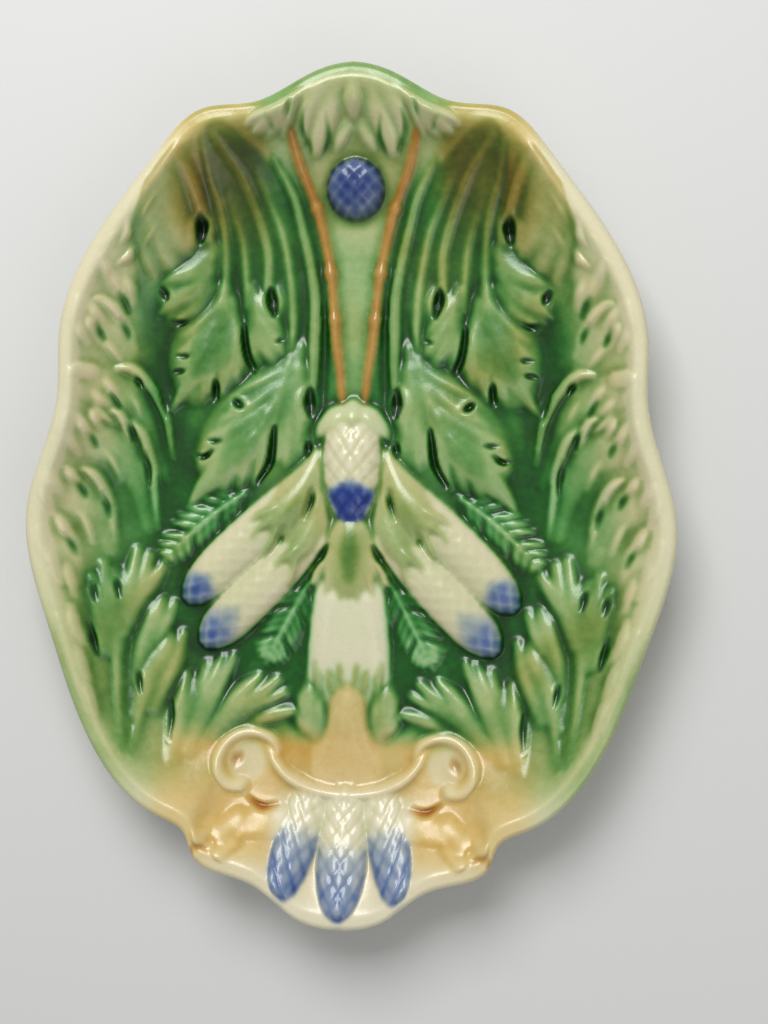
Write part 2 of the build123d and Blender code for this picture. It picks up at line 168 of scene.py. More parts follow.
        [(52.6, -58, 1.8, 1), (50.4, -50, 2.4, 2.3), (49, -44.4, 1.4, 1.3)],
        [(50, -60, 2.4, .8), (46.8, -51, 3, 2.4), (43, -44, 2.6, 2.8), (40.6, -38.4, 1.4, 1.3)],
        [(47.6, -57, 2, 1), (43, -49, 2.8, 2.6), (39.4, -42.6, 1.8, 2.2), (37, -38.2, 1.4, 1.3)],
        [(51, -55, 1.9, 1), (47, -46, 2.2, 2.2), (45, -40.2, 1.4, 1.3)],
    ],
    "sprout_5": [
        [(46, -58, 2.2, .6), (39, -51, 3, 2.4), (33.4, -46.6, 2.8, 2.8), (28.6, -43, 1.4, 1.3)],
        [(42, -56, 2, .8), (34.6, -50, 2.8, 2.6), (27.6, -46.6, 2.2, 2.4), (22.6, -43.4, 1.4, 1.3)],
        [(38, -54.6, 1.8, .8), (30, -50, 2.2, 2.2), (24.4, -48.2, 1.8, 2), (20.6, -46.6, 1.4, 1.3)],
        [(32, -55, 1.6, .8), (26, -52.4, 2.2, 2), (21, -51.4, 2, 2), (16.6, -51, 1.4, 1.3)],
    ],
    "sprout_6": [
        [(8.6, -58, 2, .8), (10.4, -52.6, 4.2, 2), (12, -48, 3.4, 2.3), (12.6, -44.6, 1.4, 1.3)],
        [(9, -57, 1.8, .8), (13, -51, 2.6, 2.2), (15, -47.4, 1.4, 1.3)],
        [(9, -57, 1.8, .8), (13.4, -54, 2.4, 2), (16, -51.4, 1.3, 1.2)],
        [(8.4, -56, 1.8, .8), (8.8, -50.6, 2.2, 2.2), (8.8, -46, 1.3, 1.4)],
        [(5, -46, 1.4, 2.4), (5.6, -42, 1.6, 3), (6.4, -38.6, 1, 2.6)],
        [(2, -45, 1.4, 2.6), (2.6, -40.6, 1.6, 3.2), (2.8, -37, 1, 3)],
        [(9, -46, 1.4, 1.8), (9.8, -41.6, 1.6, 2.7), (10.4, -38, 1, 2.3)],
    ],
    "border_leaf_1": [
        [(70, 58, 4, .4), (72, 52, 4, .7), (71, 46, 3, .5)],
        [(74.6, 52.4, .8, .6), (73, 49.8, 1.2, 1.4), (71.2, 46.6, .8, .7)],
        [(70.8, 51.6, .8, .6), (69.4, 48.6, 1.2, 2.0), (68.6, 45.2, .7, .6)],
        [(67.8, 58, .8, .6), (69.4, 55.4, 1.2, 1.8), (72, 54.2, .7, .6)],
        [(76.4, 55.4, .7, .5), (75.2, 52.6, 1, 1.4), (74.6, 50, .7, .5)],
        [(68.4, 63.6, .7, .5), (68.8, 60.8, 1, 1.4), (70.4, 58.8, .7, .5)],
    ],
    "border_leaf_2": [
        [(84, 43, 4, .4), (77, 40, 5, .8), (72, 34, 3, .6), (68.4, 26, 1.6, .3)],
        [(78.6, 46, .8, .7), (76.4, 45.4, 1.2, 1.4), (73.4, 43, 1.2, 2.2), (70.4, 39, .9, .9),
         (68.6, 34, .8, .5)],
        [(83.4, 40.4, .7, .5), (82.8, 38, 1, 1.4), (81.4, 35.4, .7, .5)],
        [(77, 36.6, .8, .6), (75, 34.2, 1, 1.5), (72.4, 31.6, .8, .5)],
        [(81, 42, .8, .6), (80.4, 39.8, 1.1, 2.0), (78.6, 37.2, .8, .7)],
        [(80.2, 44.8, .7, .6), (78.8, 42.6, 1, 2.0), (76.6, 40, .8, .7)],
    ],
    "border_leaf_3": [
        [(84, 27, 4, .4), (77, 25, 5, .8), (70, 22, 4, .8), (64, 14, 2.4, .7), (59.4, 4, 1.6, .4)],
        [(74, 30, 1, .8), (70, 30, 1.4, 2.2), (66.4, 28, 1.5, 2.5), (62.6, 24, 1.4, 2.5),
         (59.4, 18.6, 1.2, 2.0), (57.4, 9, 1, .6)],
        [(80, 21.4, .7, .5), (77.4, 18.6, 1, 1.4), (74.6, 16.8, .7, .5)],
        [(71, 25, .8, .6), (68.4, 21.6, 1, 1.5), (66.4, 17.4, .8, .5)],
        [(77.6, 27.6, .8, .6), (75.6, 25.6, 1.1, 2.0), (73, 22.8, .8, .7)],
        [(80.4, 24.6, .8, .6), (78.4, 22.6, 1.1, 1.8), (76.2, 20.6, .7, .6)],
        [(83, 29, 2.4, 1.4), (81.2, 28.8, 2.4, 1.4)],
    ],
    "border_leaf_4": [
        [(86, 16, 4, .4), (80, 13, 5, .8), (73.4, 10, 4.4, .8), (68, 2, 2.6, .7), (65, -8, 1.6, .4)],
        [(69.8, 18, .9, .9), (66.6, 14.4, 1.3, 2.4), (64.6, 9.6, 1.3, 2.4), (63.4, 3.4, 1.1, 1.8),
         (62, -8, .9, .5)],
        [(76, 20.2, .8, .7), (73.2, 19, 1.2, 2.2), (71, 15.4, 1.1, 2.0), (69.8, 12.4, .7, .6)],
        [(80.8, 20, .7, .6), (79.8, 18, 1.1, 2.0), (78.4, 15.4, .7, .7)],
        [(86.8, 14.6, .7, .5), (86, 12, 1, 1.4), (84.4, 9.2, .7, .5)],
        [(78, 11.4, .8, .6), (75.4, 8, 1, 1.5), (73.2, 3.6, .8, .5)],
        [(83.8, 18.6, .8, .6), (82.6, 16, 1.2, 2.0), (81, 12.6, .8, .6)],
    ],
    "border_leaf_5": [
        [(92, 2, 4, .4), (86, 0, 5, .8), (80, -5, 3.4, .8), (76, -13, 2, .4)],
        [(83.6, 6.2, .8, .7), (80.6, 4.4, 1.3, 2.2), (78, 1, 1.3, 2.2), (76, -4.6, 1.1, 1.8),
         (74.6, -11, .8, .5)],
        [(94.4, 1.4, .7, .5), (93.2, -1.6, 1, 1.4), (91.6, -4.6, .7, .5)],
        [(85.4, -3, .8, .6), (83, -6.6, 1, 1.5), (81, -11.4, .8, .5)],
        [(87.8, 6.4, .7, .6), (86.4, 4.4, 1.1, 2.0), (84.8, 2, .7, .6)],
        [(91.8, 4.6, .8, .6), (90.6, 2.2, 1.1, 1.8), (89.2, -.6, .7, .6)],
    ],
    "border_leaf_6": [
        [(94, -10, 3.4, .4), (89, -14, 4, .7), (85, -20, 2.4, .5)],
        [(90.6, -5, .8, .6), (88.8, -8, 1.2, 2.0), (86.2, -11.6, 1, 1), (84.6, -17, .7, .5)],
        [(93, -12, .8, .6), (91, -16, 1.2, 2.0), (88.6, -21, .8, .6)],
        [(88.6, -15, .7, .6), (86.8, -19, 1.1, 1.8), (85, -24, .7, .5)],
    ],
    "border_leaf_7": [
        [(88, -30, 3, .5), (85, -37, 3.4, .8), (80, -50, 2, .4)],
        [(86, -26, .8, .6), (84.4, -30, 1.2, 2), (82, -35, .9, .7)],
        [(83.4, -35, .8, .6), (81.6, -39, 1.1, 1.8), (79.4, -44, .8, .6)],
        [(80.6, -43, .8, .5), (78.6, -47, 1.1, 1.7), (76.6, -52, .7, .5)],
    ],
    "scroll": [
        [(22, -62, 1, 1), (22.6, -59.2, 1.5, 1.8), (25.4, -57.2, 1.7, 2.2), (29.4, -56.2, 1.8, 2.3),
         (34, -56.6, 1.8, 2.3), (38, -58.8, 1.8, 2.3), (40.2, -62.2, 1.9, 2.3), (39.6, -65.6, 2, 2.4),
         (36.6, -68.2, 2.2, 2.5), (33, -68.6, 2.2, 2.2)],
    ],
    "bracket": [
        [(19, -76.4, 4.2, 1.7), (25, -76.6, 4.2, 1.7), (31, -76.8, 4, 1.7)],
        [(33, -75.6, 3, 1.7), (37, -78.4, 3.4, 2)],
        [(33.4, -80.6, 2.4, 1.4), (37, -82.4, 2.6, 1.5)],
        [(40, -76.8, 2, 1.1), (44, -79.4, 2.4, 1.5), (47, -81.2, 1.2, .7)],
    ],
    "lip_spear": [
        [(11, -71.6, 6, 2.4), (13.4, -78, 6.4, 3.2), (15.6, -84, 6.4, 3.6), (16.8, -88.6, 4.8, 3),
         (17.2, -91.8, 1.8, 1.2)],
    ],
}

# Runs of the ornaments on the middle line, both halves in one piece
MIDDLE_RUNS = {
    "crown_leaf": [
        [(15, 92, 4, .8), (7, 93.6, 6, 1.2), (0, 94, 7, 1.4)],
        [(3, 95, 3, 1), (7.4, 89, 4.4, 2.8), (10.4, 84, 3.2, 2.6), (11.7, 80.6, 1.5, 1.2)],
        [(8, 94, 3, 1), (13, 89, 3, 2.6), (15, 83.4, 1.2, 1.1)],
        [(14, 94, 2.4, .8), (23, 90.4, 3.2, 2.5), (28.6, 87.2, 2, 1.8), (32, 85.6, .9, .8)],
        [(15, 93, 2.2, 1), (22.4, 88.6, 3, 2.7), (27.4, 85.4, 1.9, 1.8), (30.4, 84.2, .8, .8)],
        [(16, 92.4, 2, 1), (20.8, 88, 2.6, 2.6), (24.4, 84.6, 1.4, 1.4), (26.4, 83.6, .7, .7)],
        [(17, 91.6, 1.6, 1), (19.6, 87.8, 2, 2.3), (21.6, 83.8, .9, .9)],
        [(2.4, 86, 2.4, 1.4), (4.4, 83.4, 2, 1.6), (5.6, 81.4, .9, .9)],
        [(0, 93.6, 2.4, 2.4), (0, 91.2, 3.4, 3.4), (0, 88.8, 2.4, 2.4)],
    ],
    "crown_spear": [
        [(0, 72.7, 8.7, 4.6), (0, 72.4, 8.7, 4.6)],
    ],
    "bunch_cap": [
        [(0, 20.4, 3.4, 3.2), (5, 19.2, 3.6, 3.6), (9, 16.6, 2.8, 2.8), (11, 14.6, 1.2, 1.2)],
        [(0, 21.4, 3, 2.4), (0, 18.8, 4, 4.6), (0, 16.6, 2.4, 4)],
        [(4.6, 19.4, 2.6, 3.4), (5.4, 16.8, 2.6, 4), (5.6, 15, 1.2, 3)],
    ],
    "centre_spear": [
        [(0, 18, 7, 3.2), (0, 12, 9.4, 5.6), (0, 5, 9, 5.8), (0, -.6, 7, 4.8), (0, -3.6, 4, 3),
         (0, -5.2, 1.2, 1)],
    ],
    "bunch_leaf": [
        [(0, -5, 5, 2.8), (0, -10, 8.6, 3.9), (0, -15, 10.4, 4), (0, -19.6, 8, 3.7), (0, -22.6, 3.6, 3.2)],
        [(2.4, -19.6, 1.4, 3.7), (3, -24.6, 1.2, 3.5)],
        [(6, -18, 1.4, 3.7), (7.6, -23, 1.2, 3.4)],
        [(9.4, -15, 1.4, 3.5), (11.6, -20, 1.2, 3.3)],
        [(10.6, 10, 3.4, 2.4), (14.6, 3.6, 6, 4.6), (19.4, -1.4, 7, 6), (24, -4.6, 5.4, 6.3),
         (27, -6.6, 2.6, 5.9)],
        [(9.6, 0, 3, 2.6), (11.4, -6, 5, 4.4), (14.8, -10.8, 5.4, 5.6), (18.6, -14.2, 3.4, 6)],
        [(24, -2.4, 1.4, 5.4), (28.4, -3.8, 1.8, 6.3), (31.8, -6, 1.2, 5.6)],
        [(25, -5.4, 1.4, 5.8), (29.4, -8, 1.8, 6.4), (32, -10.6, 1.2, 5.8)],
        [(23, -8, 1.4, 5.6), (25.4, -11.2, 1.8, 6), (27, -13.6, 1.2, 5.2)],
        [(17.6, -12, 1.4, 5.4), (21.4, -14.6, 1.8, 6.1), (24, -17.4, 1.2, 5.7)],
        [(15.6, -13.4, 1.4, 5), (17.8, -17.4, 1.8, 5.8), (19, -20.6, 1.2, 5.2)],
        [(0, -4.6, 3, 2), (0, -9, 5.4, 3.4), (0, -15, 5, 3.4), (0, -19.6, 3, 2.6), (0, -22.6, 1, 1)],
        [(3.4, -7, 2.4, 2.6), (5.6, -13, 2.4, 2.8), (6.8, -18.6, .9, 1)],
        [(9, 2.4, 2.6, 2.4), (11, -4.4, 3.4, 3.5), (13.4, -10.4, 3.2, 3.3), (13.2, -16.6, 1, 1)],
        [(10.4, 1, 2.4, 2.4), (14.6, -6, 3, 3.6), (17.4, -11, 2, 3), (18.6, -14.6, .8, 2)],
        [(12, 9, 2.6, 2), (15.6, 2, 3.8, 4.4), (20, -3.4, 3.8, 5.4), (23.4, -7.4, 2, 5.2),
         (25.4, -9.6, .8, 4.6)],
        [(14.6, 6, 2.4, 2.4), (21, .4, 3, 4.6), (26, -3, 1.8, 5), (28.4, -5, .8, 4.8)],
        [(13, 4, 2.4, 2.4), (16, -2.4, 2.8, 4.6), (19.4, -7.4, 1.8, 4.6), (20.6, -10.4, .8, 4)],
    ],
    "stalk": [
        [(0, -18, 9.6, 2.8), (0, -26, 12.4, 3), (0, -34, 13.2, 2.8), (0, -42, 13.4, 1.5)],
        [(5.6, -24, 2.6, 3.1), (7, -32, 3, 3.2), (8, -40, 3, 2.2)],
    ],
    "trunk": [
        [(0, -43, 6, 1.8), (0, -49, 6.6, 2.5), (0, -55, 7.6, 2.3), (0, -60, 10.4, 1.3), (0, -64.5, 12, .4)],
        [(3.4, -50, 1.2, 2.4), (5.6, -57, 1.3, 2.1), (9.6, -63.6, 1.2, 1)],
        [(.8, -47, 1.2, 2.9), (1.6, -55, 1.3, 2.7), (3.4, -64.6, 1.2, 1)],
    ],
    "well_lip": [
        [(24.6, -60.2, 1.2, 1.2), (22.6, -63, 1.7, 2), (18.6, -66.2, 2, 2.6), (12.6, -68.6, 2.1, 2.9),
         (6.3, -69.8, 2.2, 3), (0, -70.2, 2.2, 3)],
    ],
    "lip_spear_centre": [
        [(0, -71.6, 6, 2.6), (0, -80, 7.4, 3.6), (0, -86.8, 7.6, 4.2), (0, -92, 6, 3.6), (0, -95.2, 3, 2),
         (0, -96.6, 1.2, .9)],
    ],
}

# Feathered fronds: the midrib, and its leaflets' length in mm on the outer and inner side
FROND_RIBS = {
    "upper_frond": (
        [(34, 1, .8, 2.2), (43, -3.8, .8, 2.4), (52, -9.8, .7, 2.2), (61, -16.8, .5, 1)], 10, 8),
    "lower_frond": (
        [(13, -20, .8, 2.2), (17.6, -26.4, .8, 2.4), (22.4, -33.4, .7, 2.2), (26.6, -40, .5, 1)], 9.4, 9),
}

# Slits and eyes pressed into the relief: percent out, percent up, half width in mm, depth in mm
SLITS = [
    [(47.8, 65.8, .8, 1), (47.5, 63.4, 1.5, 2.4), (48.4, 60.6, .9, 1.2)],
    [(60.6, 49, .5, 1), (59.4, 47.6, .9, 1.8), (58.6, 46.2, .5, 1)],
    [(26.6, 49.6, .7, 1), (26.2, 46.5, 1.4, 2.4), (25.4, 43, .7, 1)],
    [(34.9, 40.4, .5, 1.2), (34.5, 36.5, .9, 2.2), (33.5, 32.8, .8, 1.9), (31.4, 29.8, .5, 1)],
    [(13.8, 26, .7, 1), (13.9, 22.8, 1.5, 2.4), (13.5, 19.6, .8, 1)],
    [(43.8, 27.6, .5, 1.2), (43.6, 25.6, .8, 2), (44, 23, .5, 1.2)],
    [(37.6, 23, .5, 1.2), (36.2, 22, 1, 2), (34.6, 21.4, .5, 1)],
    [(44, 11, .4, 1), (46, 10, .7, 1.6), (48, 8.8, .5, 1)],
    [(24.6, 17, .5, 1.4), (25.2, 12.6, .9, 2.4), (26.4, 8, .9, 2.2), (30, 3.6, .5, 1.2)],
    [(14, 13.4, .6, 1), (13.9, 11.8, .9, 1.8), (14.2, 10, .5, 1)],
    [(12, 2.6, .5, 1.2), (12.4, -.6, .9, 2.2), (14.2, -4.4, .5, 1.4)],
    [(7, -10.8, .5, 1.2), (9, -13.6, .9, 2), (12, -16.8, .5, 1.2)],
    [(22.6, 37.6, .4, .8), (23.6, 37.2, .6, 1.4), (25, 37, .4, .8)],
    [(56, 33.4, .5, .8), (53.4, 33.2, .7, 1.5), (51, 33.4, .4, .6)],
    [(57, 29.6, .5, .8), (54.6, 29.6, .7, 1.5), (52, 30, .4, .6)],
    [(57.6, 41.4, .5, .8), (55, 41, .7, 1.5), (52.6, 41.4, .4, .6)],
    [(46, 13.4, .5, .8), (43.6, 13.2, .7, 1.5), (41, 13.6, .4, .6)],
    [(49.6, 9.8, .5, .8), (47, 9.4, .7, 1.4), (44.6, 9.6, .4, .6)],
    [(72.6, 47.6, .4, .5), (71.2, 45.4, .7, 1.1), (70.2, 43, .5, .6)],
    [(72.4, 41.6, .4, .8), (71, 39.2, .7, 1.2), (70.2, 37, .4, .7)],
    [(79.4, 40, .4, .6), (78.2, 38, .7, 1.1), (77, 36.2, .4, .6)],
    [(68.6, 28, .5, .8), (67.6, 27, .9, 1.5), (66.8, 25.8, .5, .8)],
    [(61.6, 24.6, .5, .8), (60.2, 21.8, .9, 1.7), (59.2, 18.6, .5, .9)],
    [(75.6, 24, .4, .6), (74.2, 22, .6, 1), (73, 20.4, .4, .6)],
    [(65.6, 10.4, .5, .8), (64.6, 6.4, 1, 1.8), (64.2, 2.4, .5, .9)],
    [(71.2, 17, .4, .7), (70, 15, .8, 1.3), (69.4, 12.8, .5, .7)],
    [(81.6, 14.6, .4, .6), (80.4, 12.8, .6, 1), (79.6, 11, .4, .6)],
    [(78.2, .6, .5, .8), (76.9, -2.6, .9, 1.6), (76, -6, .5, .8)],
    [(85.4, 3, .4, .6), (84, 1, .7, 1.1), (83, -1, .4, .6)],
    [(88.4, -9, .4, .6), (86.6, -11.8, .7, 1.1), (85.4, -14.4, .4, .6)],
    [(80.2, -21, .4, .8), (79.8, -23, .7, 1.4), (79.2, -25.4, .4, .8)],
    [(73.8, -20, .4, .8), (73.2, -22, .7, 1.4), (72.6, -24.4, .4, .8)],
    [(80.7, -30.3, .4, .6), (79.4, -34, .8, 1.3), (78, -38, .4, .7)],
    [(30.6, -71.2, .5, .6), (26, -73.2, .8, 1.5), (21, -72.8, .5, .7)],
    [(66, -42, .4, .7), (65.4, -44.4, .7, 1.3), (64.8, -47, .4, .7)],
    [(55.6, -49, .4, .7), (55.2, -53, .8, 1.5), (55.6, -58, .4, .7)],
    [(18.4, 91, .4, .6), (19.2, 89.2, .7, 1.3), (19.8, 87.2, .4, .7)],
    [(14.8, 89, .4, .5), (15.8, 85, .6, 1), (13.4, 80.8, .4, .6)],
    [(8.4, 88, .4, .5), (7.8, 84, .6, 1), (9.4, 80.8, .4, .6)],
    [(26.6, 87.4, .4, .5), (25, 86, .5, .9), (23.8, 84.6, .4, .5)],
    [(47.6, -81.6, .5, .8), (44, -81.4, .8, 1.2), (41, -82, .4, .7)],
    [(33.6, -61.4, .9, .5), (34.6, -62.4, 1.4, .8), (35.6, -63.6, .9, .5)],
]

# Glaze laid on each ornament before it flows: green, ochre, brown and blue thickness
GLAZES = {
    "stem_band": (.12, .8, .75, 0),
    "shoulder_leaf": (.48, .2, .24, 0),
    "fluted_leaf": (1.05, .2, .14, 0),
    "lower_leaf": (.9, .15, .12, 0),
    "upper_spear": (.04, .02, 0, 0),
    "lower_spear": (.04, .02, 0, 0),
    "upper_frond": (1.1, 0, 0, 0),
    "lower_frond": (1.15, 0, 0, 0),
    "sprout": (.85, .22, .08, 0),
    "scroll": (.06, .1, .02, 0),
    "bracket": (.05, .4, .05, 0),
    "lip_spear": (.02, 0, 0, 0),
    "crown_leaf": (.22, .08, .14, 0),
    "crown_spear": (.02, 0, .16, .4),
    "bunch_cap": (.34, .14, 0, 0),
    "centre_spear": (.03, .02, 0, 0),
    "bunch_leaf": (.4, .2, .12, 0),
    "stalk": (.06, .02, 0, 0),
    "trunk": (.1, .5, .12, 0),
    "well_lip": (.05, .12, 0, 0),
    "lip_spear_centre": (.02, 0, 0, 0),
}

# How far an ornament's runs spread beyond their written width, how round they are (low is flat-topped),
# and how many passes melt its runs into one sheet
FORMS = {
    "stem_band": (1.15, .4, 1),
    "shoulder_leaf": (1.25, 1, 2),
    "fluted_leaf": (1.25, 1, 1),
    "lower_leaf": (1.3, 1, 2),
    "upper_spear": (1, .55, 0),
    "lower_spear": (1, .55, 0),
    "upper_frond": (1, .6, 1),
    "lower_frond": (1, .6, 1),
    "sprout": (1.3, .9, 2),
    "border_leaf": (1.25, .68, 0),
    "scroll": (1, .5, 1),
    "bracket": (1.05, .4, 1),
    "lip_spear": (1, .6, 0),
    "crown_leaf": (1.1, .8, 1),
    "crown_spear": (1, .5, 0),
    "bunch_cap": (1.15, .7, 2),
    "centre_spear": (1, .5, 0),
    "bunch_leaf": (1.2, .9, 2),
    "stalk": (1, .35, 2),
    "trunk": (1.1, .6, 3),
    "well_lip": (1, .5, 1),
    "lip_spear_centre": (1, .55, 0),
}

# Where green gathers deepest: percent out, percent up, half width in mm, extra thickness
GREEN_POOLS = [
    [(66, 50, 5, .2), (62, 40, 7, 1), (60, 28, 7, 1.1), (57, 15, 8, 1.2), (55, 2, 8, 1.1),
     (58, -8, 7, .9), (66, -14, 6, .4)],
    [(22, 74, 2, .7), (16.4, 62, 2.2, .9), (13, 53, 2.4, 1), (10.4, 42, 3, 1), (10, 34, 3.4, 1.1),
     (11, 22, 3.4, 1), (12, 14, 3, .5)],
    [(13, -22, 3, .8), (15.5, -32, 5, 1.5), (18, -40, 6, 1.5), (24, -42, 5, .8)],
    [(52, -22, 4, .7), (50, -32, 5, 1), (44, -38, 4, .8), (34, -38, 5, 1)],
    [(20, -51, 2, .7), (17, -53, 3, 1.1), (14, -56, 3, .8)],
    [(0, -7, 2, 1), (0, -12, 4, 1.8), (0, -18, 3, 1.2)],
    [(13, 2, 2, .8), (17, -2, 3, 1.2), (20, -4, 2, .6)],
]

# Grooves beside the stem bands: percent out, percent up, half width in mm, depth in mm
STEM_GROOVE = [
    (23.5, 78, 1.2, .5), (20.4, 71, 1.5, 1), (16.4, 62, 1.5, 1.1), (13.2, 54, 1.5, 1.1), (10.8, 46, 1.5, 1.1),
    (9.6, 36, 1.6, 1.1), (9.8, 26, 1.6, .9), (11, 18, 1.2, .4),
]

# Length and width in mm of one scale on each kind of spear, and how strongly it shows on the pale part
SCALES = {
    "crown_spear": (4.6, 4.4, 1),
    "centre_spear": (5.4, 5.2, 1),
    "upper_spear": (5, 5, .4),
    "lower_spear": (5, 5, .4),
    "lip_spear": (6.2, 4.4, .9),
    "lip_spear_centre": (6.2, 4.8, .9),
}

# Material slot of each node, from the record
SLOT_BY_PIECE = {item["node"]: item["material_slot"] for item in frame["record"]["subparts"]}

# Zones of the front, each a product of smooth steps: a measure, where the step starts and where it is full.
# Out and up are percent of the half width and half length, ring is the share of the way to the rim
ZONES = {
    "wall": (("ring", .6, .9),),
    "upper_wall": (("ring", .6, .76), ("ring", 1, .86)),
    "border": (("ring", .64, .78),),
    "below_lip": (("ring", .97, .88),),
    "lip": (("ring", .93, .985),),
    "inside_lip": (("ring", .99, .95),),
    "inside_rim": (("ring", .985, .955),),
    "low_rim": (("ring", .78, .92), ("up", -8, -40), ("up", -72, -60)),
    "upper_rim": (("ring", .93, .98), ("up", 30, 45), ("up", 88, 82)),
    "top_rim": (("ring", .86, .97), ("up", 84, 94)),
    "crown": (("up", 76, 90), ("out", 34, 24)),
    "shoulder": (("up", 50, 76), ("out", 23, 33), ("out", 60, 46)),
    "panel": (("up", 18, 26),),
    "panel_foot": (("up", 72, 44),),
    "foot": (("up", -50, -60), ("out", 64, 52)),
    "foot_sides": (("out", 16, 24), ("up", -88, -80)),
    "well": (("up", -54, -60), ("up", -71, -68.5), ("out", 26, 18)),
    "well_front": (("up", -61, -69),),
    "pouring_lip": (("up", -69, -72), ("out", 26, 20)),
}

# Oval zones in percent: middle out and up, half sizes out and up, and in shares of these where the edge
# starts and where it is full
OVALS = {
    "beside_bunch": (22, 4, 20, 14, 1.2, .6),
    "curl": (31.5, -63, 6.5, 5, 1.1, .7),
}

# Pale panel between the stem bands, in percent: half width at its foot, height where it starts to spread,
# spread for each percent above that, and half the width of its soft edge
PANEL_FOOT = 3.6
PANEL_BEND = 23
PANEL_SPREAD = 0.235
PANEL_EDGE = 2.5

# Heights in mm of the rays that find the body's front, its back and its rim
ABOVE_PLATE = 80
BELOW_PLATE = -20
RIM_LEVEL = 25.6
# Bearings at which the rim is measured, and how far outside the plain oval their rays start
RIM_BEARINGS = 1081
OUTSIDE = 1.4
# How wide the middle of the grid is spread, as a share of the plain oval
MIDDLE_REACH = 0.93

# Points on each span of a run's curve, least half width of a run and shortest step along it in mm
RUN_STEPS = 7
SLIMMEST = 0.25
SHORTEST_STEP = 1e-6
# Power of the sum that joins the runs of one ornament
JOIN_POWER = 5
# Height in mm from which an ornament owns a point, and by which it has to stand over the others there
LEAST_RELIEF = 0.3
LEAST_STEP = 0.02
# Height in mm from which a point on a spear knows its place along it
SPEAR_HEIGHT = 0.2
# Share of the way to the rim beyond which no ornament owns a point
BARE_RING = 0.975

# Spans between the leaflets along a frond, points of a leaflet as share of its length, half width and height
# in mm, how far it leans ahead and aside, half widths of the blade under the midrib as shares of the
# leaflets' length, and the height of the blade in mm
FROND_SPANS = 9
LEAFLET = ((0, 0.9, 1.2), (0.55, 1.2, 1.7), (1, 0.6, 0.8))
LEAN_AHEAD = 0.72
LEAN_ASIDE = 0.74
BLADE_WIDTHS = (0.4, 0.56, 0.42, 0.08)
BLADE_HEIGHT = 0.6

# Section of a slit: roundness, spread and height of its raised edge, spread and depth of the slit itself,
# and the depth in mm at which its glaze is darkest, with the power by which it fades
SLIT_ROUNDNESS = 1.2
SLIT_EDGE_SPREAD = 3.2
SLIT_EDGE = 0.4
SLIT_SPREAD = 1.5
SLIT_DEPTH = 1.5
DARK_SLIT = 1.8
SLIT_FADE = 1.2
# Roundness of the grooves and of the pools of glaze
SOFT_ROUNDNESS = 1.5
# Height in mm of the lines between scales, and the deepest that anything is pressed under the ground
SCALE_HEIGHT = 0.75
DEEPEST = 2.2

# Height in mm above which relief no longer counts for hollows, and cells to each side in their averages
HOLLOW_LIMIT = 3.2
NEAR_REACH = 4
FAR_REACH = 11
# Thickest that the green and any glaze may lie, in coats
THICKEST_GREEN = 2.5
THICKEST = 4
# Plain glaze of the back and of the foot: green, ochre, brown and blue thickness
BACK_GLAZE = (.1, .05, 0, 0)
FOOT_GLAZE = (.06, .1, 0, 0)

# Cuts in the lip between its crest and the back. Depth round the lip runs from 0 at the crest to 1 on the
# back: where the back's glaze starts, and where a point counts as on the back
LIP_RINGS = 5
BACK_GLAZE_START = 0.6
ON_BACK = 0.99
# Rounds that thin the mesh under the ornaments and on the back, and the share of the flat grid that is
# thinned on the back
HIDDEN_THINNING = 4
BACK_THINNING = 6
WITHIN_EDGE = 0.99
# Least thickness in mm of an ornament over its seat, and the gap between the seat and the body
SEAT_DEPTH = 0.5
SEAT_GAP = 0.15
# Depth in mm of the hidden margin that each piece has under its neighbours
TUCK = 0.08
# Step in mm between the heights of the pieces, so that no two margins lie in one surface, and the number of
# the first step
LIFT = 0.0012
FIRST_LIFT = 8

# Foot ring: thickness and rounding of its wall in mm, and steps around it
FOOT_WALL = 5.0
FOOT_CORNER = 1.0
FOOT_STEPS = 144

# Stage in metres: half size of the floor, size and place of each lamp, place of the camera, and the
# camera's turn in degrees
FLOOR_HALF = 3.0
KEY_SIZE = 0.5
KEY_SPOT = (-0.12, 0.55, 0.75)
FILL_SIZE = 0.7
FILL_SPOT = (0.45, -0.55, 0.8)
CAMERA_SPOT = (0.05871, 0.01859, 0.50108)
CAMERA_TURN = (-2.477, 5.68, 1.1)


def without_side(node):
    """Name of a node without its side."""
    return node.replace("left_", "").replace("right_", "")


def family(node):
    """Kind of ornament that a node is, without its side or number."""
    return without_side(node).rstrip("0123456789").rstrip("_")


class PlateShape(bpy.types.PropertyGroup):
    """Sizes of the relief and its glaze"""

    cells_across: bpy.props.IntProperty(
        name="Cells Across", description="Mesh cells across the width of the plate",
        default=344, min=120, max=420)
    cells_along: bpy.props.IntProperty(
        name="Cells Along", description="Mesh cells along the length of the plate",
        default=456, min=160, max=560)
    glaze_softness: bpy.props.IntProperty(
        name="Glaze Softness", description="Passes that round the relief as a coat of glaze does",
        default=2, min=0)
    lip_radius: bpy.props.FloatProperty(
        name="Lip Radius", description="Radius of the rounded rim in millimetres", default=2.4, min=0.5)
    pool_depth: bpy.props.FloatProperty(
        name="Pool Depth", description="How strongly glaze gathers in hollows", default=1.5, min=0.0)


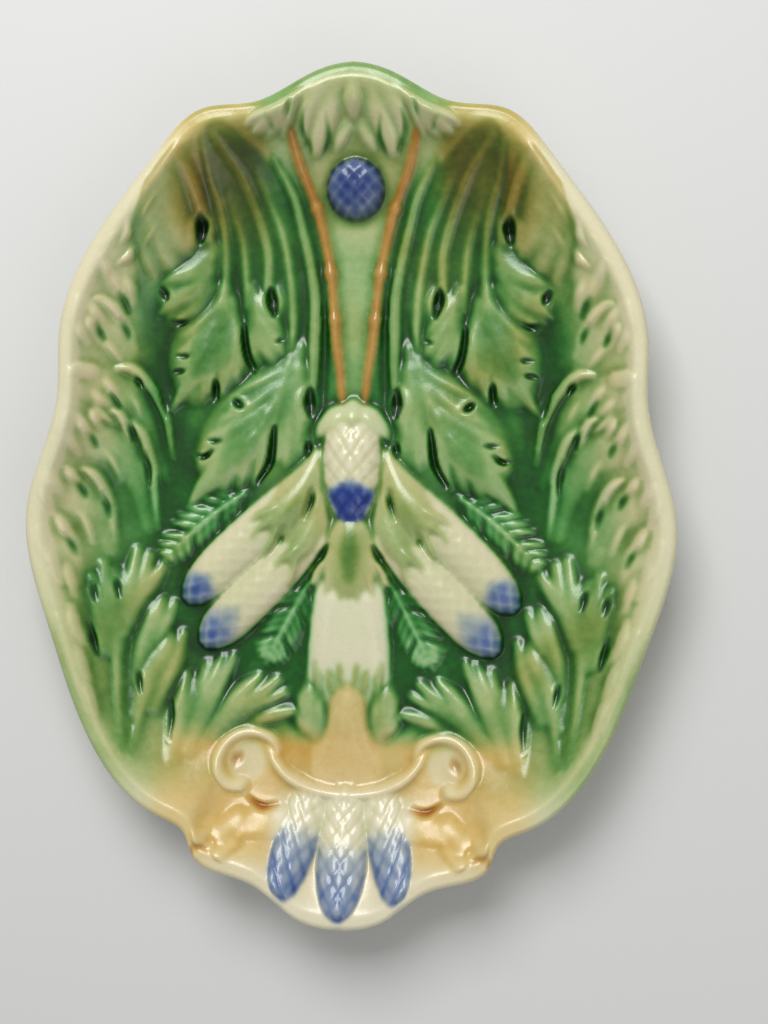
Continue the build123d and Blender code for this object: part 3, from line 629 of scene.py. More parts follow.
class PlateGlaze(bpy.types.PropertyGroup):
    """Colours of the glazes: the cream ground, and the tint of one coat of each glaze over white"""

    cream: bpy.props.FloatVectorProperty(
        name="Cream", description="Colour of the cream ground",
        subtype="COLOR", size=3, default=(.70, .655, .48))
    green: bpy.props.FloatVectorProperty(
        name="Green", description="Tint of one coat of green",
        subtype="COLOR", size=3, default=(.115, .42, .15))
    ochre: bpy.props.FloatVectorProperty(
        name="Ochre", description="Tint of one coat of ochre",
        subtype="COLOR", size=3, default=(.85, .60, .22))
    brown: bpy.props.FloatVectorProperty(
        name="Brown", description="Tint of one coat of brown",
        subtype="COLOR", size=3, default=(.55, .27, .09))
    blue: bpy.props.FloatVectorProperty(
        name="Blue", description="Tint of one coat of blue",
        subtype="COLOR", size=3, default=(.13, .22, .66))


class PlateStage(bpy.types.PropertyGroup):
    """Floor, lamps and camera"""

    floor: bpy.props.FloatVectorProperty(
        name="Floor", description="Colour of the floor", subtype="COLOR", size=3, default=(.64, .64, .63))
    key_power: bpy.props.FloatProperty(
        name="Key Lamp", description="Power of the large lamp above the top of the plate",
        unit="POWER", default=7.8)
    fill_power: bpy.props.FloatProperty(
        name="Fill Lamp", description="Power of the lamp on the other side", unit="POWER", default=1.6)
    sky: bpy.props.FloatProperty(
        name="Sky", description="Strength of the even light from all round", default=.34)
    lens: bpy.props.FloatProperty(
        name="Lens", description="Focal length of the camera in millimetres", default=55.3)


def smooth_step(low, high, value):
    """Smooth rise from 0 at low to 1 at high."""
    share = np.clip((value - low) / (high - low), 0.0, 1.0)
    return share * share * (3.0 - 2.0 * share)


def soften(field, passes):
    """Field averaged with its neighbours, once for each pass."""
    for _ in range(passes):
        padded = np.pad(field, 1, mode="edge")
        field = (padded[:-2, 1:-1] + 2.0 * padded[1:-1, 1:-1] + padded[2:, 1:-1]) * 0.25
        padded = np.pad(field, 1, mode="edge")
        field = (padded[1:-1, :-2] + 2.0 * padded[1:-1, 1:-1] + padded[1:-1, 2:]) * 0.25
    return field


def wide_average(field, reach):
    """Field averaged over a square of cells, twice, for a wide soft mean."""
    size = 2 * reach + 1
    for _ in range(2):
        for axis in (0, 1):
            pads = [(0, 0), (0, 0)]
            pads[axis] = (reach + 1, reach)
            sums = np.cumsum(np.pad(field, pads, mode="edge"), axis=axis)
            ahead = np.take(sums, np.arange(size, sums.shape[axis]), axis=axis)
            behind = np.take(sums, np.arange(0, sums.shape[axis] - size), axis=axis)
            field = (ahead - behind) / size
    return field


def smooth_run(run, mirrored):
    """Points along a run in millimetres, on a smooth curve through its points."""
    points = np.array(run, dtype=float)
    points[:, 0] *= HALF_WIDTH / 100 * (-1 if mirrored else 1)
    points[:, 1] *= HALF_LENGTH / 100
    ends = [2 * points[0] - points[1], 2 * points[-1] - points[-2]]
    points = np.vstack([ends[0], points, ends[1]])
    steps = np.linspace(0, 1, RUN_STEPS, endpoint=False)[:, None]
    pieces = []
    for place in range(1, len(points) - 2):
        before, here, ahead, beyond = points[place - 1:place + 3]
        slope = ahead - before
        bend = 2 * before - 5 * here + 4 * ahead - beyond
        twist = 3 * here - before - 3 * ahead + beyond
        pieces.append(0.5 * (2 * here + slope * steps + bend * steps ** 2 + twist * steps ** 3))
    pieces.append(points[-2:-1])
    return np.vstack(pieces)


class Front:
    """Height, owner and glaze of every point on the front of the plate."""

    def __init__(self, shape):
        self.shape = shape
        body = frame["nodes"]["plate_body"].data
        spots = [vertex.co * (1 / MM) for vertex in body.vertices]
        self.solid = BVHTree.FromPolygons(spots, [tuple(face.vertices) for face in body.polygons])
        self.measure_rim()
        self.lay_plan()
        self.raise_relief()
        self.press_details()
        self.lay_glaze()
        self.find_normals()

    def measure_rim(self):
        """Reach of the rim at each bearing, as a share of the plain oval."""
        self.bearings = np.linspace(-math.pi, math.pi, RIM_BEARINGS)
        reaches = []
        for bearing in self.bearings:
            out = Vector((HALF_WIDTH * math.cos(bearing), HALF_LENGTH * math.sin(bearing), 0))
            start = out * OUTSIDE + Vector((0, 0, RIM_LEVEL))
            hit = self.solid.ray_cast(start, -out.normalized())[0]
            reaches.append(math.hypot(hit.x, hit.y) / out.length)
        self.reaches = np.array(reaches)

    def rim_reach(self, bearing):
        """Reach of the rim at bearings in radians."""
        return np.interp(bearing, self.bearings, self.reaches)

    def lay_plan(self):
        """Plan of the grid, whose edge runs along the crest of the lip."""
        across = np.linspace(-1, 1, self.shape.cells_across + 1)
        along = np.linspace(-1, 1, self.shape.cells_along + 1)
        square_x, square_y = np.meshgrid(across, along)
        disc_x = square_x * np.sqrt(1 - square_y ** 2 / 2)
        disc_y = square_y * np.sqrt(1 - square_x ** 2 / 2)
        ring = np.hypot(disc_x, disc_y)
        bearing = np.arctan2(disc_y, disc_x)
        oval = np.hypot(HALF_WIDTH * np.cos(bearing), HALF_LENGTH * np.sin(bearing))
        crest = self.rim_reach(bearing) - self.shape.lip_radius / oval
        reach = ring * (crest * ring ** 2 + MIDDLE_REACH * (1 - ring ** 2))
        self.x = HALF_WIDTH * reach * np.cos(bearing)
        self.y = HALF_LENGTH * reach * np.sin(bearing)
        self.out = np.abs(self.x) / HALF_WIDTH * 100
        self.up = self.y / HALF_LENGTH * 100
        self.ring = reach / self.rim_reach(bearing)
        down = Vector((0, 0, -1))
        ground = []
        for x, y in zip(self.x.flat, self.y.flat):
            ground.append(self.solid.ray_cast(Vector((x, y, ABOVE_PLATE)), down)[0].z)
        self.ground = np.array(ground).reshape(self.x.shape)

    def zone(self, name):
        """How far each point lies in one of the zones, 0 to 1."""
        share = 1.0
        for measure, start, full in ZONES[name]:
            share = share * smooth_step(start, full, getattr(self, measure))
        return share

    def oval(self, name):
        """How far each point lies in one of the oval zones, 0 to 1."""
        out, up, half_out, half_up, edge, full = OVALS[name]
        return smooth_step(edge, full, np.hypot((self.out - out) / half_out, (self.up - up) / half_up))

    def owned(self, name):
        """Points that an ornament is on top of."""
        return self.top == self.names.index(name)

    def window(self, path, margin):
        """Rows and columns of the grid that a path can touch."""
        low = path[:, :2].min(axis=0) - margin
        high = path[:, :2].max(axis=0) + margin
        near = (self.x > low[0]) & (self.x < high[0]) & (self.y > low[1]) & (self.y < high[1])
        rows = np.flatnonzero(near.any(axis=1))
        columns = np.flatnonzero(near.any(axis=0))
        return slice(rows[0], rows[-1] + 1), slice(columns[0], columns[-1] + 1)

    def trace(self, run, mirrored, roundness, spread=1.0):
        """Arched height along a run, with the distance along it and the side of it at each point."""
        path = smooth_run(run, mirrored)
        path[:, 2] *= spread
        place = self.window(path, path[:, 2].max() + 1)
        x, y = self.x[place], self.y[place]
        height = np.zeros_like(x)
        travel = np.zeros_like(x)
        side = np.zeros_like(x)
        gone = 0.0
        last = len(path) - 2
        for number, (here, ahead) in enumerate(zip(path[:-1], path[1:])):
            step = ahead[:2] - here[:2]
            length = math.hypot(*step)
            if length < SHORTEST_STEP:
                continue
            offset_x, offset_y = x - here[0], y - here[1]
            along = (offset_x * step[0] + offset_y * step[1]) / length ** 2
            share = np.clip(along, 0, 1)
            reach = np.clip(along, -np.inf if number == 0 else 0, np.inf if number == last else 1)
            width = np.maximum(here[2] + (ahead[2] - here[2]) * share, SLIMMEST)
            crest = np.maximum(here[3] + (ahead[3] - here[3]) * share, 0.0)
            across = (offset_y * step[0] - offset_x * step[1]) / length
            gap = np.hypot(offset_x - share * step[0], offset_y - share * step[1]) / width
            arch = crest * np.clip(1 - gap ** 2, 0, 1) ** roundness
            better = arch > height
            height = np.where(better, arch, height)
            travel = np.where(better, gone + reach * length, travel)
            side = np.where(better, across, side)
            gone += length
        return place, height, travel, side, gone

    def raise_relief(self):
        """Every ornament's height over the ground, and which ornament lies on top."""
        names = list(MIDDLE_RUNS)
        for name in list(SIDE_RUNS) + list(FROND_RIBS):
            names += ["left_" + name, "right_" + name]
        self.names = names
        self.relief = np.zeros_like(self.x)
        self.top = np.full(self.x.shape, -1)
        self.spear_travel = {}
        for number, name in enumerate(names):
            raised = self.ornament_height(name)
            higher = raised > self.relief + LEAST_STEP
            self.top[higher & (raised > LEAST_RELIEF)] = number
            self.relief = np.maximum(self.relief, raised)
        self.relief *= self.zone("inside_rim")
        self.top[self.ring > BARE_RING] = -1

    def ornament_height(self, name):
        """Height of one ornament over the whole grid."""
        total = np.zeros_like(self.x)
        kind = family(name)
        spread, roundness, melting = FORMS[kind]
        if kind in FROND_RIBS:
            runs = frond_runs(*FROND_RIBS[kind])
        else:
            runs = MIDDLE_RUNS.get(name) or SIDE_RUNS[without_side(name)]
        sides = (False, True) if name in MIDDLE_RUNS else (name.startswith("left_"),)
        for mirrored in sides:
            for run in runs:
                place, height, travel, side, length = self.trace(run, mirrored, roundness, spread)
                total[place] = (total[place] ** JOIN_POWER + height ** JOIN_POWER) ** (1 / JOIN_POWER)
                if "spear" in kind:
                    raised = height > SPEAR_HEIGHT
                    places = np.stack([travel, side, np.full_like(travel, length)], -1)
                    travels = self.spear_travel.setdefault(name, np.zeros(self.x.shape + (3,)))
                    travels[place][raised] = places[raised]
        return soften(total, melting)

    def press_details(self):
        """Slits, scale lines and the softening coat of glaze."""
        skin = self.ground + self.relief
        self.slit = np.zeros_like(skin)
        for mirrored in (False, True):
            for run in SLITS:
                place, edge = self.trace(run, mirrored, SLIT_ROUNDNESS, SLIT_EDGE_SPREAD)[:2]
                skin[place] += SLIT_EDGE * edge
                place, depth = self.trace(run, mirrored, SLIT_ROUNDNESS, SLIT_SPREAD)[:2]
                skin[place] -= SLIT_DEPTH * depth
                dark = np.minimum(depth / DARK_SLIT, 1) ** SLIT_FADE
                self.slit[place] = np.maximum(self.slit[place], dark)
            place, depth = self.trace(STEM_GROOVE, mirrored, SOFT_ROUNDNESS)[:2]
            skin[place] -= np.where(self.top[place] == -1, depth, 0)
        self.scale_line = np.zeros_like(skin)
        for name, travels in self.spear_travel.items():
            owned = self.owned(name)
            self.scale_line[owned] = spear_scales(travels, name)[owned]
            skin[owned] += (-SCALE_HEIGHT if grooved(name) else SCALE_HEIGHT) * self.scale_line[owned]
        softened = soften(skin, self.shape.glaze_softness)
        self.skin = np.maximum(softened, self.ground - DEEPEST * self.zone("inside_rim"))

    def lay_glaze(self):
        """Thickness of each glaze in coats: laid by ornament, run together, gathered in the hollows."""
        self.glaze_ground()
        self.glaze_ornaments()
        self.glaze_foot()
        self.glaze_rim()
        self.glaze_slits()
        self.glaze_spears()
        self.let_glaze_flow()
        self.layers = np.clip(np.stack([self.green, self.ochre, self.brown, self.blue], -1), 0, THICKEST)

    def glaze_ground(self):
        """Green floor that fades up the wall, the pale panel and the crown."""
        self.green = 1.15 - 1.06 * self.zone("wall")
        self.ochre = np.full_like(self.x, 0.08)
        self.brown = 0.14 * self.zone("upper_wall")
        self.blue = np.zeros_like(self.x)
        self.green *= 1 - 0.3 * self.oval("beside_bunch")
        panel_half = PANEL_FOOT + PANEL_SPREAD * np.maximum(self.up - PANEL_BEND, 0)
        panel = smooth_step(PANEL_EDGE, -PANEL_EDGE, self.out - panel_half) * self.zone("panel")
        self.green = self.green * (1 - panel) + (0.16 + 0.3 * self.zone("panel_foot")) * panel
        self.brown += 0.1 * panel
        crown = self.zone("crown")
        self.green = self.green * (1 - crown) + 0.24 * crown

    def glaze_ornaments(self):
        """Each ornament's own glaze, the deep green pools and the uneven strokes of the brush."""
        painted = self.top >= 0
        for number, name in enumerate(self.names):
            here = self.top == number
            if family(name) in GLAZES:
                coats = GLAZES[family(name)]
                self.green[here], self.ochre[here], self.brown[here], self.blue[here] = coats
            else:
                painted[here] = False
        for mirrored in (False, True):
            for run in GREEN_POOLS:
                place, extra = self.trace(run, mirrored, SOFT_ROUNDNESS)[:2]
                self.green[place] += extra * np.where(painted[place], 0.25, 1.0)
        # Patches a few centimetres wide where the brush left the green thin or thick
        strokes = np.sin(self.x / 9 + 1.7 * np.sin(self.y / 13))
        strokes *= np.sin(self.y / 11 + 1.3 * np.sin(self.x / 17))
        thin = np.clip(strokes, 0, 1)
        thick = np.clip(-strokes, 0, 1)
        self.ochre += 0.4 * thin * np.clip(2.2 * self.green - 0.5, 0, 1)
        self.green *= 1 + 0.25 * thick - 0.2 * thin

    def glaze_foot(self):
        """Ochre cartouche with its pale curls, the well and the cream pouring lip."""
        foot = self.zone("foot")
        self.ochre += 0.42 * foot * self.zone("foot_sides")
        self.ochre *= 1 - 0.85 * self.oval("curl")
        self.green *= 1 - 0.96 * foot
        well = self.zone("well")
        bare_well = np.where(self.owned("trunk"), 0, well)
        self.ochre += 0.42 * bare_well
        self.brown += 0.08 * bare_well
        self.ochre *= 1 - 0.6 * well * self.zone("well_front")
        self.ochre *= 1 - self.zone("pouring_lip")

    def glaze_rim(self):
        """Olive shoulders, the cream rim, and the green that runs onto it at the top and low down."""
        self.shoulder = np.where(self.owned("crown_leaf"), 0, self.zone("shoulder"))
        self.ochre += 0.8 * self.shoulder
        self.brown += 0.5 * self.shoulder * self.zone("below_lip")
        self.green *= 1 - 0.5 * self.shoulder
        self.green += 0.25 * self.shoulder
        self.green *= 1 - 0.7 * self.shoulder * self.zone("lip")
        self.green *= 1 - 0.8 * self.zone("upper_rim")
        low_rim = self.zone("low_rim")
        top_rim = self.zone("top_rim")
        self.green += 0.25 * low_rim + 0.3 * top_rim
        self.ochre += 0.2 * low_rim + 0.15 * top_rim

    def glaze_slits(self):
        """Dark glaze in the slits, green on the leaves and brown at the foot."""
        foot = self.zone("foot")
        self.green += (0.45 + 1.1 * self.zone("border")) * self.slit * (1 - foot)
        self.brown += (0.15 + 0.95 * foot) * self.slit

    def glaze_spears(self):
        """Blue tips, and a faint tint where the glaze lies thick on the pale part."""
        for name, travels in self.spear_travel.items():
            owned = self.owned(name)
            tip = spear_tip(travels, name)
            if grooved(name):
                thickness = 1 + 0.8 * self.scale_line
                pale = (1 - tip) * self.scale_line
            else:
                thickness = 1 - 0.9 * self.scale_line
                pale = (1 - tip) * 0.5 * (1 - self.scale_line)
            self.blue[owned] += (0.8 if "lip" in name else 1.7) * (tip * thickness)[owned]
            self.green[owned] += 0.1 * pale[owned]
            self.brown[owned] += 0.16 * pale[owned]

    def let_glaze_flow(self):
        """Runs the coats into each other, thickens them in hollows and thins them on ridges, and adds painted
        shade in the near hollows.
        """
        self.green = soften(self.green, 4)
        self.ochre = soften(self.ochre, 2)
        self.brown = soften(self.brown, 2)
        self.blue = soften(self.blue, 2)
        coated = np.minimum(self.skin, self.ground + HOLLOW_LIMIT)
        near_hollow = wide_average(coated, NEAR_REACH) - coated
        far_hollow = wide_average(coated, FAR_REACH) - coated
        hollow = 0.75 * near_hollow + 0.3 * far_hollow
        upper = np.maximum(self.shoulder, self.zone("crown"))
        thinnest = 0.45 + 0.35 * self.shoulder
        self.green *= np.clip(1 + self.shape.pool_depth * hollow, thinnest, 2.2 - upper)
        # Painted shade: extra green and brown in the near hollows, on top of the glaze pooled there. Little
        # on the shoulders and crown, none on the foot or the lip.
        darkening = np.clip(near_hollow - 0.05, 0, 0.7) * (1 - self.zone("foot")) * (1 - 0.9 * upper)
        darkening *= self.zone("inside_lip")
        self.green = np.minimum(self.green + 0.7 * darkening, THICKEST_GREEN)
        self.brown = (self.brown + 0.3 * darkening) * np.clip(1 + 0.3 * hollow, 0.7, 1.4)
        self.ochre *= np.clip(1 + 0.5 * hollow, 0.6, 1.6)
        self.blue *= np.clip(1 + 0.5 * hollow, 0.6, 1.6)

    def find_normals(self):
        """Points in metres, the slope of the skin at each, and the ornament that owns each cell."""
        self.points = np.stack([self.x, self.y, self.skin], -1) * MM
        along = np.gradient(self.points, axis=0)
        across = np.gradient(self.points, axis=1)
        normals = np.cross(across, along)
        self.normals = normals / np.linalg.norm(normals, axis=2, keepdims=True)
        # At the grid's four corners its rows and columns run the same way, so slopes come from further in
        for rows, inner_row in ((slice(0, 2), 3), (slice(-2, None), -4)):
            for columns, inner_column in ((slice(0, 2), 3), (slice(-2, None), -4)):
                self.normals[rows, columns] = self.normals[inner_row, inner_column]
        corners = np.stack([self.top[:-1, :-1], self.top[1:, :-1], self.top[:-1, 1:], self.top[1:, 1:]])
        self.cell_owner = corners.max(axis=0)
        outer = [0, 1, -2, -1]
        self.cell_owner[outer, :] = -1
        self.cell_owner[:, outer] = -1
        self.seat = np.minimum(self.ground, self.skin - SEAT_DEPTH)

    def hidden_points(self):
        """Points well under the ornaments, some cells from any bare ground and from the rim."""
        near = grown_cells(grown_cells(self.cell_owner == -1))
        near[[0, -1], :] = True
        near[:, [0, -1]] = True
        return ~touched_points(near)

    def lip_point(self, place, depth, radius):
        """Point on the rounded lip or the back below a point of the grid, depth 0 to 1, in metres."""
        x, y = self.x.flat[place], self.y.flat[place]
        back = self.solid.ray_cast(Vector((x, y, BELOW_PLATE)), Vector((0, 0, 1)))[0].z
        if depth > ON_BACK:
            return x * MM, y * MM, back * MM
        turn = math.pi * depth
        middle = self.skin.flat[place] - radius
        fall = radius if depth < 0.5 else middle - back
        height = middle + fall * math.cos(turn)
        grow = 1 + radius * math.sin(turn) / math.hypot(x, y)
        return x * grow * MM, y * grow * MM, height * MM


def touched_points(cells):
    """Points of the grid at a corner of any of the cells."""
    padded = np.pad(cells, 1)
    return padded[:-1, :-1] | padded[1:, :-1] | padded[:-1, 1:] | padded[1:, 1:]


def grown_cells(cells):
    """The cells and all their neighbours."""
    points = touched_points(cells)
    return points[:-1, :-1] | points[1:, :-1] | points[:-1, 1:] | points[1:, 1:]


def frond_runs(rib, outer, inner):
    """A midrib on a thin blade, with leaflets down both sides."""
    blade = []
    for point, width in zip(rib, BLADE_WIDTHS):
        blade.append((point[0], point[1], width * (outer + inner) / 2, BLADE_HEIGHT))
    runs = [rib, blade]
    path = smooth_run(rib, False)
    for number in range(1, FROND_SPANS):
        share = number / FROND_SPANS
        middle = int(share * (len(path) - 1))
        here = path[middle]
        ahead = path[min(middle + 2, len(path) - 1)] - path[max(middle - 2, 0)]
        ahead = ahead[:2] / np.linalg.norm(ahead[:2])
        # Leaflets are longest a third of the way along the rib and shrink to nothing at its tip
        swell = math.sin(math.pi * min(1, share * 0.8 + 0.22)) ** 0.6
        for reach, turn in ((outer * swell, 1), (inner * swell, -1)):
            aside = np.array([-ahead[1], ahead[0]]) * turn
            run = []
            for along, width, height in LEAFLET:
                spot = here[:2] + (ahead * LEAN_AHEAD + aside * LEAN_ASIDE) * reach * along
                run.append((spot[0] / HALF_WIDTH * 100, spot[1] / HALF_LENGTH * 100, width, height))
            runs.append(run)
    return runs


def spear_tip(travels, name):
    """How much of the blue tip covers a spear, from the distances in mm along and across it."""
    travel, side, length = travels[..., 0], travels[..., 1], travels[..., 2]
    left = length - travel
    if name == "crown_spear":
        return np.ones_like(travel)
    if "lip_spear" in name:
        return 0.5 * smooth_step(21, 14, left) + 0.7 * smooth_step(16, 2, left)
    pointed = smooth_step(0.9, -0.9, np.abs(side) - 1.2 - 0.55 * left)
    if name == "centre_spear":
        return smooth_step(14.5, 11.5, left + 0.3 * np.abs(side)) * pointed
    if "lower_spear" in name:
        return (0.3 * smooth_step(19, 12, left + np.abs(side)) + 0.7 * smooth_step(11, 5, left)) * pointed
    return smooth_step(13, 7, left + 0.4 * np.abs(side)) * pointed


def grooved(name):
    """Whether the lines between a spear's scales are grooves, not ridges."""
    return name == "centre_spear" or "lip_spear" in name


def spear_scales(travels, name):
    """Lines between the scales of a spear."""
    length, width, plain = SCALES[family(name)]
    along, across = travels[..., 0] / length, travels[..., 1] / width
    first = np.abs(np.sin(math.pi * (along + across)))
    second = np.abs(np.sin(math.pi * (along - across)))
    lines = smooth_step(0.42, 0.05, np.minimum(first, second))
    return lines * np.maximum(spear_tip(travels, name), plain)


def noise(nodes, links, vector, scale, detail):
    """Noise texture on the object's own coordinates."""
    texture = nodes.new("ShaderNodeTexNoise")
    texture.inputs["Scale"].default_value = scale
    texture.inputs["Detail"].default_value = detail
    links.new(vector, texture.inputs["Vector"])
    return texture.outputs["Fac"]


def math_node(nodes, links, operation, first, second):
    """Math node on two sockets or numbers."""
    node = nodes.new("ShaderNodeMath")
    node.operation = operation
    for socket, value in zip(node.inputs, (first, second)):
        if isinstance(value, (int, float)):
            socket.default_value = value
        else:
            links.new(value, socket)
    return node.outputs[0]


def coat_group():
    """Node group: a ground colour seen through a tinted glaze of some thickness."""
    group = bpy.data.node_groups.get("Glaze Coat")
    if group:
        return group
    group = bpy.data.node_groups.new("Glaze Coat", "ShaderNodeTree")
    group.interface.new_socket("Ground", in_out="INPUT", socket_type="NodeSocketColor")
    group.interface.new_socket("Tint", in_out="INPUT", socket_type="NodeSocketColor")
    group.interface.new_socket("Thickness", in_out="INPUT", socket_type="NodeSocketFloat")
    group.interface.new_socket("Colour", in_out="OUTPUT", socket_type="NodeSocketColor")
    nodes, links = group.nodes, group.links
    start = nodes.new("NodeGroupInput")
    end = nodes.new("NodeGroupOutput")
    ground = nodes.new("ShaderNodeSeparateColor")
    tint = nodes.new("ShaderNodeSeparateColor")
    links.new(start.outputs["Ground"], ground.inputs[0])
    links.new(start.outputs["Tint"], tint.inputs[0])
    joined = nodes.new("ShaderNodeCombineColor")
    for channel in range(3):
        dimmed = math_node(nodes, links, "POWER", tint.outputs[channel], start.outputs["Thickness"])
        seen = math_node(nodes, links, "MULTIPLY", ground.outputs[channel], dimmed)
        links.new(seen, joined.inputs[channel])
    links.new(joined.outputs[0], end.inputs["Colour"])
    return group


def surface_group():
    """Node group: cloudy thickness, fine crazing and pinholes of a fired glaze."""
    group = bpy.data.node_groups.get("Fired Surface")
    if group:
        return group
    group = bpy.data.node_groups.new("Fired Surface", "ShaderNodeTree")
    group.interface.new_socket("Vector", in_out="INPUT", socket_type="NodeSocketVector")
    for mask in ("Cloud", "Speckle", "Crazing", "Height"):
        group.interface.new_socket(mask, in_out="OUTPUT", socket_type="NodeSocketFloat")
    nodes, links = group.nodes, group.links
    start = nodes.new("NodeGroupInput")
    end = nodes.new("NodeGroupOutput")
    vector = start.outputs["Vector"]
    broad = noise(nodes, links, vector, scale=90, detail=3.0)
    fine = noise(nodes, links, vector, scale=420, detail=3.0)
    broad_part = math_node(nodes, links, "MULTIPLY", broad, 0.62)
    fine_part = math_node(nodes, links, "MULTIPLY", fine, 0.38)
    cloud = math_node(nodes, links, "ADD", broad_part, fine_part)
    links.new(cloud, end.inputs["Cloud"])
    crackle = nodes.new("ShaderNodeTexVoronoi")
    crackle.feature = "DISTANCE_TO_EDGE"
    crackle.inputs["Scale"].default_value = 260
    links.new(vector, crackle.inputs["Vector"])
    line = nodes.new("ShaderNodeMapRange")
    line.inputs["From Min"].default_value = 0.0
    line.inputs["From Max"].default_value = 0.035
    line.inputs["To Min"].default_value = 1.0
    line.inputs["To Max"].default_value = 0.0
    links.new(crackle.outputs["Distance"], line.inputs["Value"])
    links.new(line.outputs["Result"], end.inputs["Crazing"])
    grit = noise(nodes, links, vector, scale=1500, detail=1.0)
    spots = nodes.new("ShaderNodeMapRange")
    spots.inputs["From Min"].default_value = 0.70
    spots.inputs["From Max"].default_value = 0.78
    links.new(grit, spots.inputs["Value"])
    links.new(spots.outputs["Result"], end.inputs["Speckle"])
    sunk_line = math_node(nodes, links, "MULTIPLY", line.outputs["Result"], 0.15)
    height = math_node(nodes, links, "SUBTRACT", fine, sunk_line)
    links.new(height, end.inputs["Height"])
    return group


def glaze_material(slot, colours):
    """Material of one of the record's glaze slots."""
    name = "glaze_" + slot
    material = bpy.data.materials.get(name)
    if material:
        return material
    material = bpy.data.materials.new(name)
    material.use_nodes = True
    nodes, links = material.node_tree.nodes, material.node_tree.links
    shader = nodes["Principled BSDF"]
    place = nodes.new("ShaderNodeTexCoord")
    surface = nodes.new("ShaderNodeGroup")
    surface.node_tree = surface_group()
    links.new(place.outputs["Object"], surface.inputs["Vector"])
    laid = nodes.new("ShaderNodeAttribute")
    laid.attribute_name = "glaze_layers"
    coats = nodes.new("ShaderNodeSeparateColor")
    links.new(laid.outputs["Color"], coats.inputs[0])
    cloudy = math_node(nodes, links, "MULTIPLY", surface.outputs["Cloud"], 1.1)
    uneven = math_node(nodes, links, "ADD", cloudy, 0.45)
    thicknesses = [coats.outputs[0], coats.outputs[1], coats.outputs[2], laid.outputs["Alpha"]]
    below = None
    for tint, thickness in zip((colours.green, colours.ochre, colours.brown, colours.blue), thicknesses):
        coat = nodes.new("ShaderNodeGroup")
        coat.node_tree = coat_group()
        if below is None:
            coat.inputs["Ground"].default_value = (*colours.cream, 1)
        else:
            links.new(below, coat.inputs["Ground"])
        coat.inputs["Tint"].default_value = (*tint, 1)
        links.new(math_node(nodes, links, "MULTIPLY", thickness, uneven), coat.inputs["Thickness"])
        below = coat.outputs["Colour"]
    darkening = nodes.new("ShaderNodeMix")
    darkening.data_type = "RGBA"
    darkening.blend_type = "MULTIPLY"
    darkening.inputs["B"].default_value = (.62, .52, .38, 1)
    crazed = math_node(nodes, links, "MULTIPLY", surface.outputs["Crazing"], 0.12)
    speckled = math_node(nodes, links, "MULTIPLY", surface.outputs["Speckle"], 0.35)
    marks = math_node(nodes, links, "ADD", crazed, speckled)
    links.new(marks, darkening.inputs["Factor"])
    links.new(below, darkening.inputs["A"])
    links.new(darkening.outputs["Result"], shader.inputs["Base Color"])
    dulled = math_node(nodes, links, "MULTIPLY", surface.outputs["Cloud"], 0.16)
    roughness = math_node(nodes, links, "ADD", dulled, 0.20)
    links.new(roughness, shader.inputs["Roughness"])
    shader.inputs["IOR"].default_value = 1.5
    shader.inputs["Coat Weight"].default_value = 0.15
    shader.inputs["Coat Roughness"].default_value = 0.12
    bump = nodes.new("ShaderNodeBump")
    bump.inputs["Strength"].default_value = 0.10
    bump.inputs["Distance"].default_value = 0.0006
    links.new(surface.outputs["Height"], bump.inputs["Height"])
    links.new(bump.outputs["Normal"], shader.inputs["Normal"])
    return material


front_cache = {}


def plate_front(context):
    """The front of the plate, worked out once for each set of sizes."""
    shape = context.scene.plate_shape
    sizes = tuple(getattr(shape, name) for name in PlateShape.__annotations__)
    if sizes not in front_cache:
        front_cache.clear()
        front_cache[sizes] = Front(shape)
    return front_cache[sizes]


def finish_piece(context, mesh, name, node, layers, normals):
    """Object of a piece: its glaze, its normals, its body and the node that it stands for."""
    attribute = mesh.attributes.new("glaze_layers", "FLOAT_COLOR", "POINT")
    attribute.data.foreach_set("color", np.asarray(layers, dtype=np.float32).ravel())
    mesh.shade_smooth()
    mesh.normals_split_custom_set_from_vertices(normals)
    slot = SLOT_BY_PIECE[node]
    mesh.materials.append(glaze_material(slot, context.scene.plate_glaze))
    piece = bpy.data.objects.new(name, mesh)
    context.collection.objects.link(piece)
    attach(piece, "root")
    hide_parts(node)


def grid_places(mesh, corner, size, stride):
    """Place in the front's grid, and depth in layers, of each vertex of a flat grid mesh."""
    spots = np.empty(len(mesh.vertices) * 3, dtype=np.float32)
    mesh.vertices.foreach_get("co", spots)
    spots = spots.reshape(-1, 3)
    rows = corner[0] + np.rint((spots[:, 1] + 1) / 2 * size[0]).astype(int)
    columns = corner[1] + np.rint((spots[:, 0] + 1) / 2 * size[1]).astype(int)
    return rows * stride + columns, -spots[:, 2]


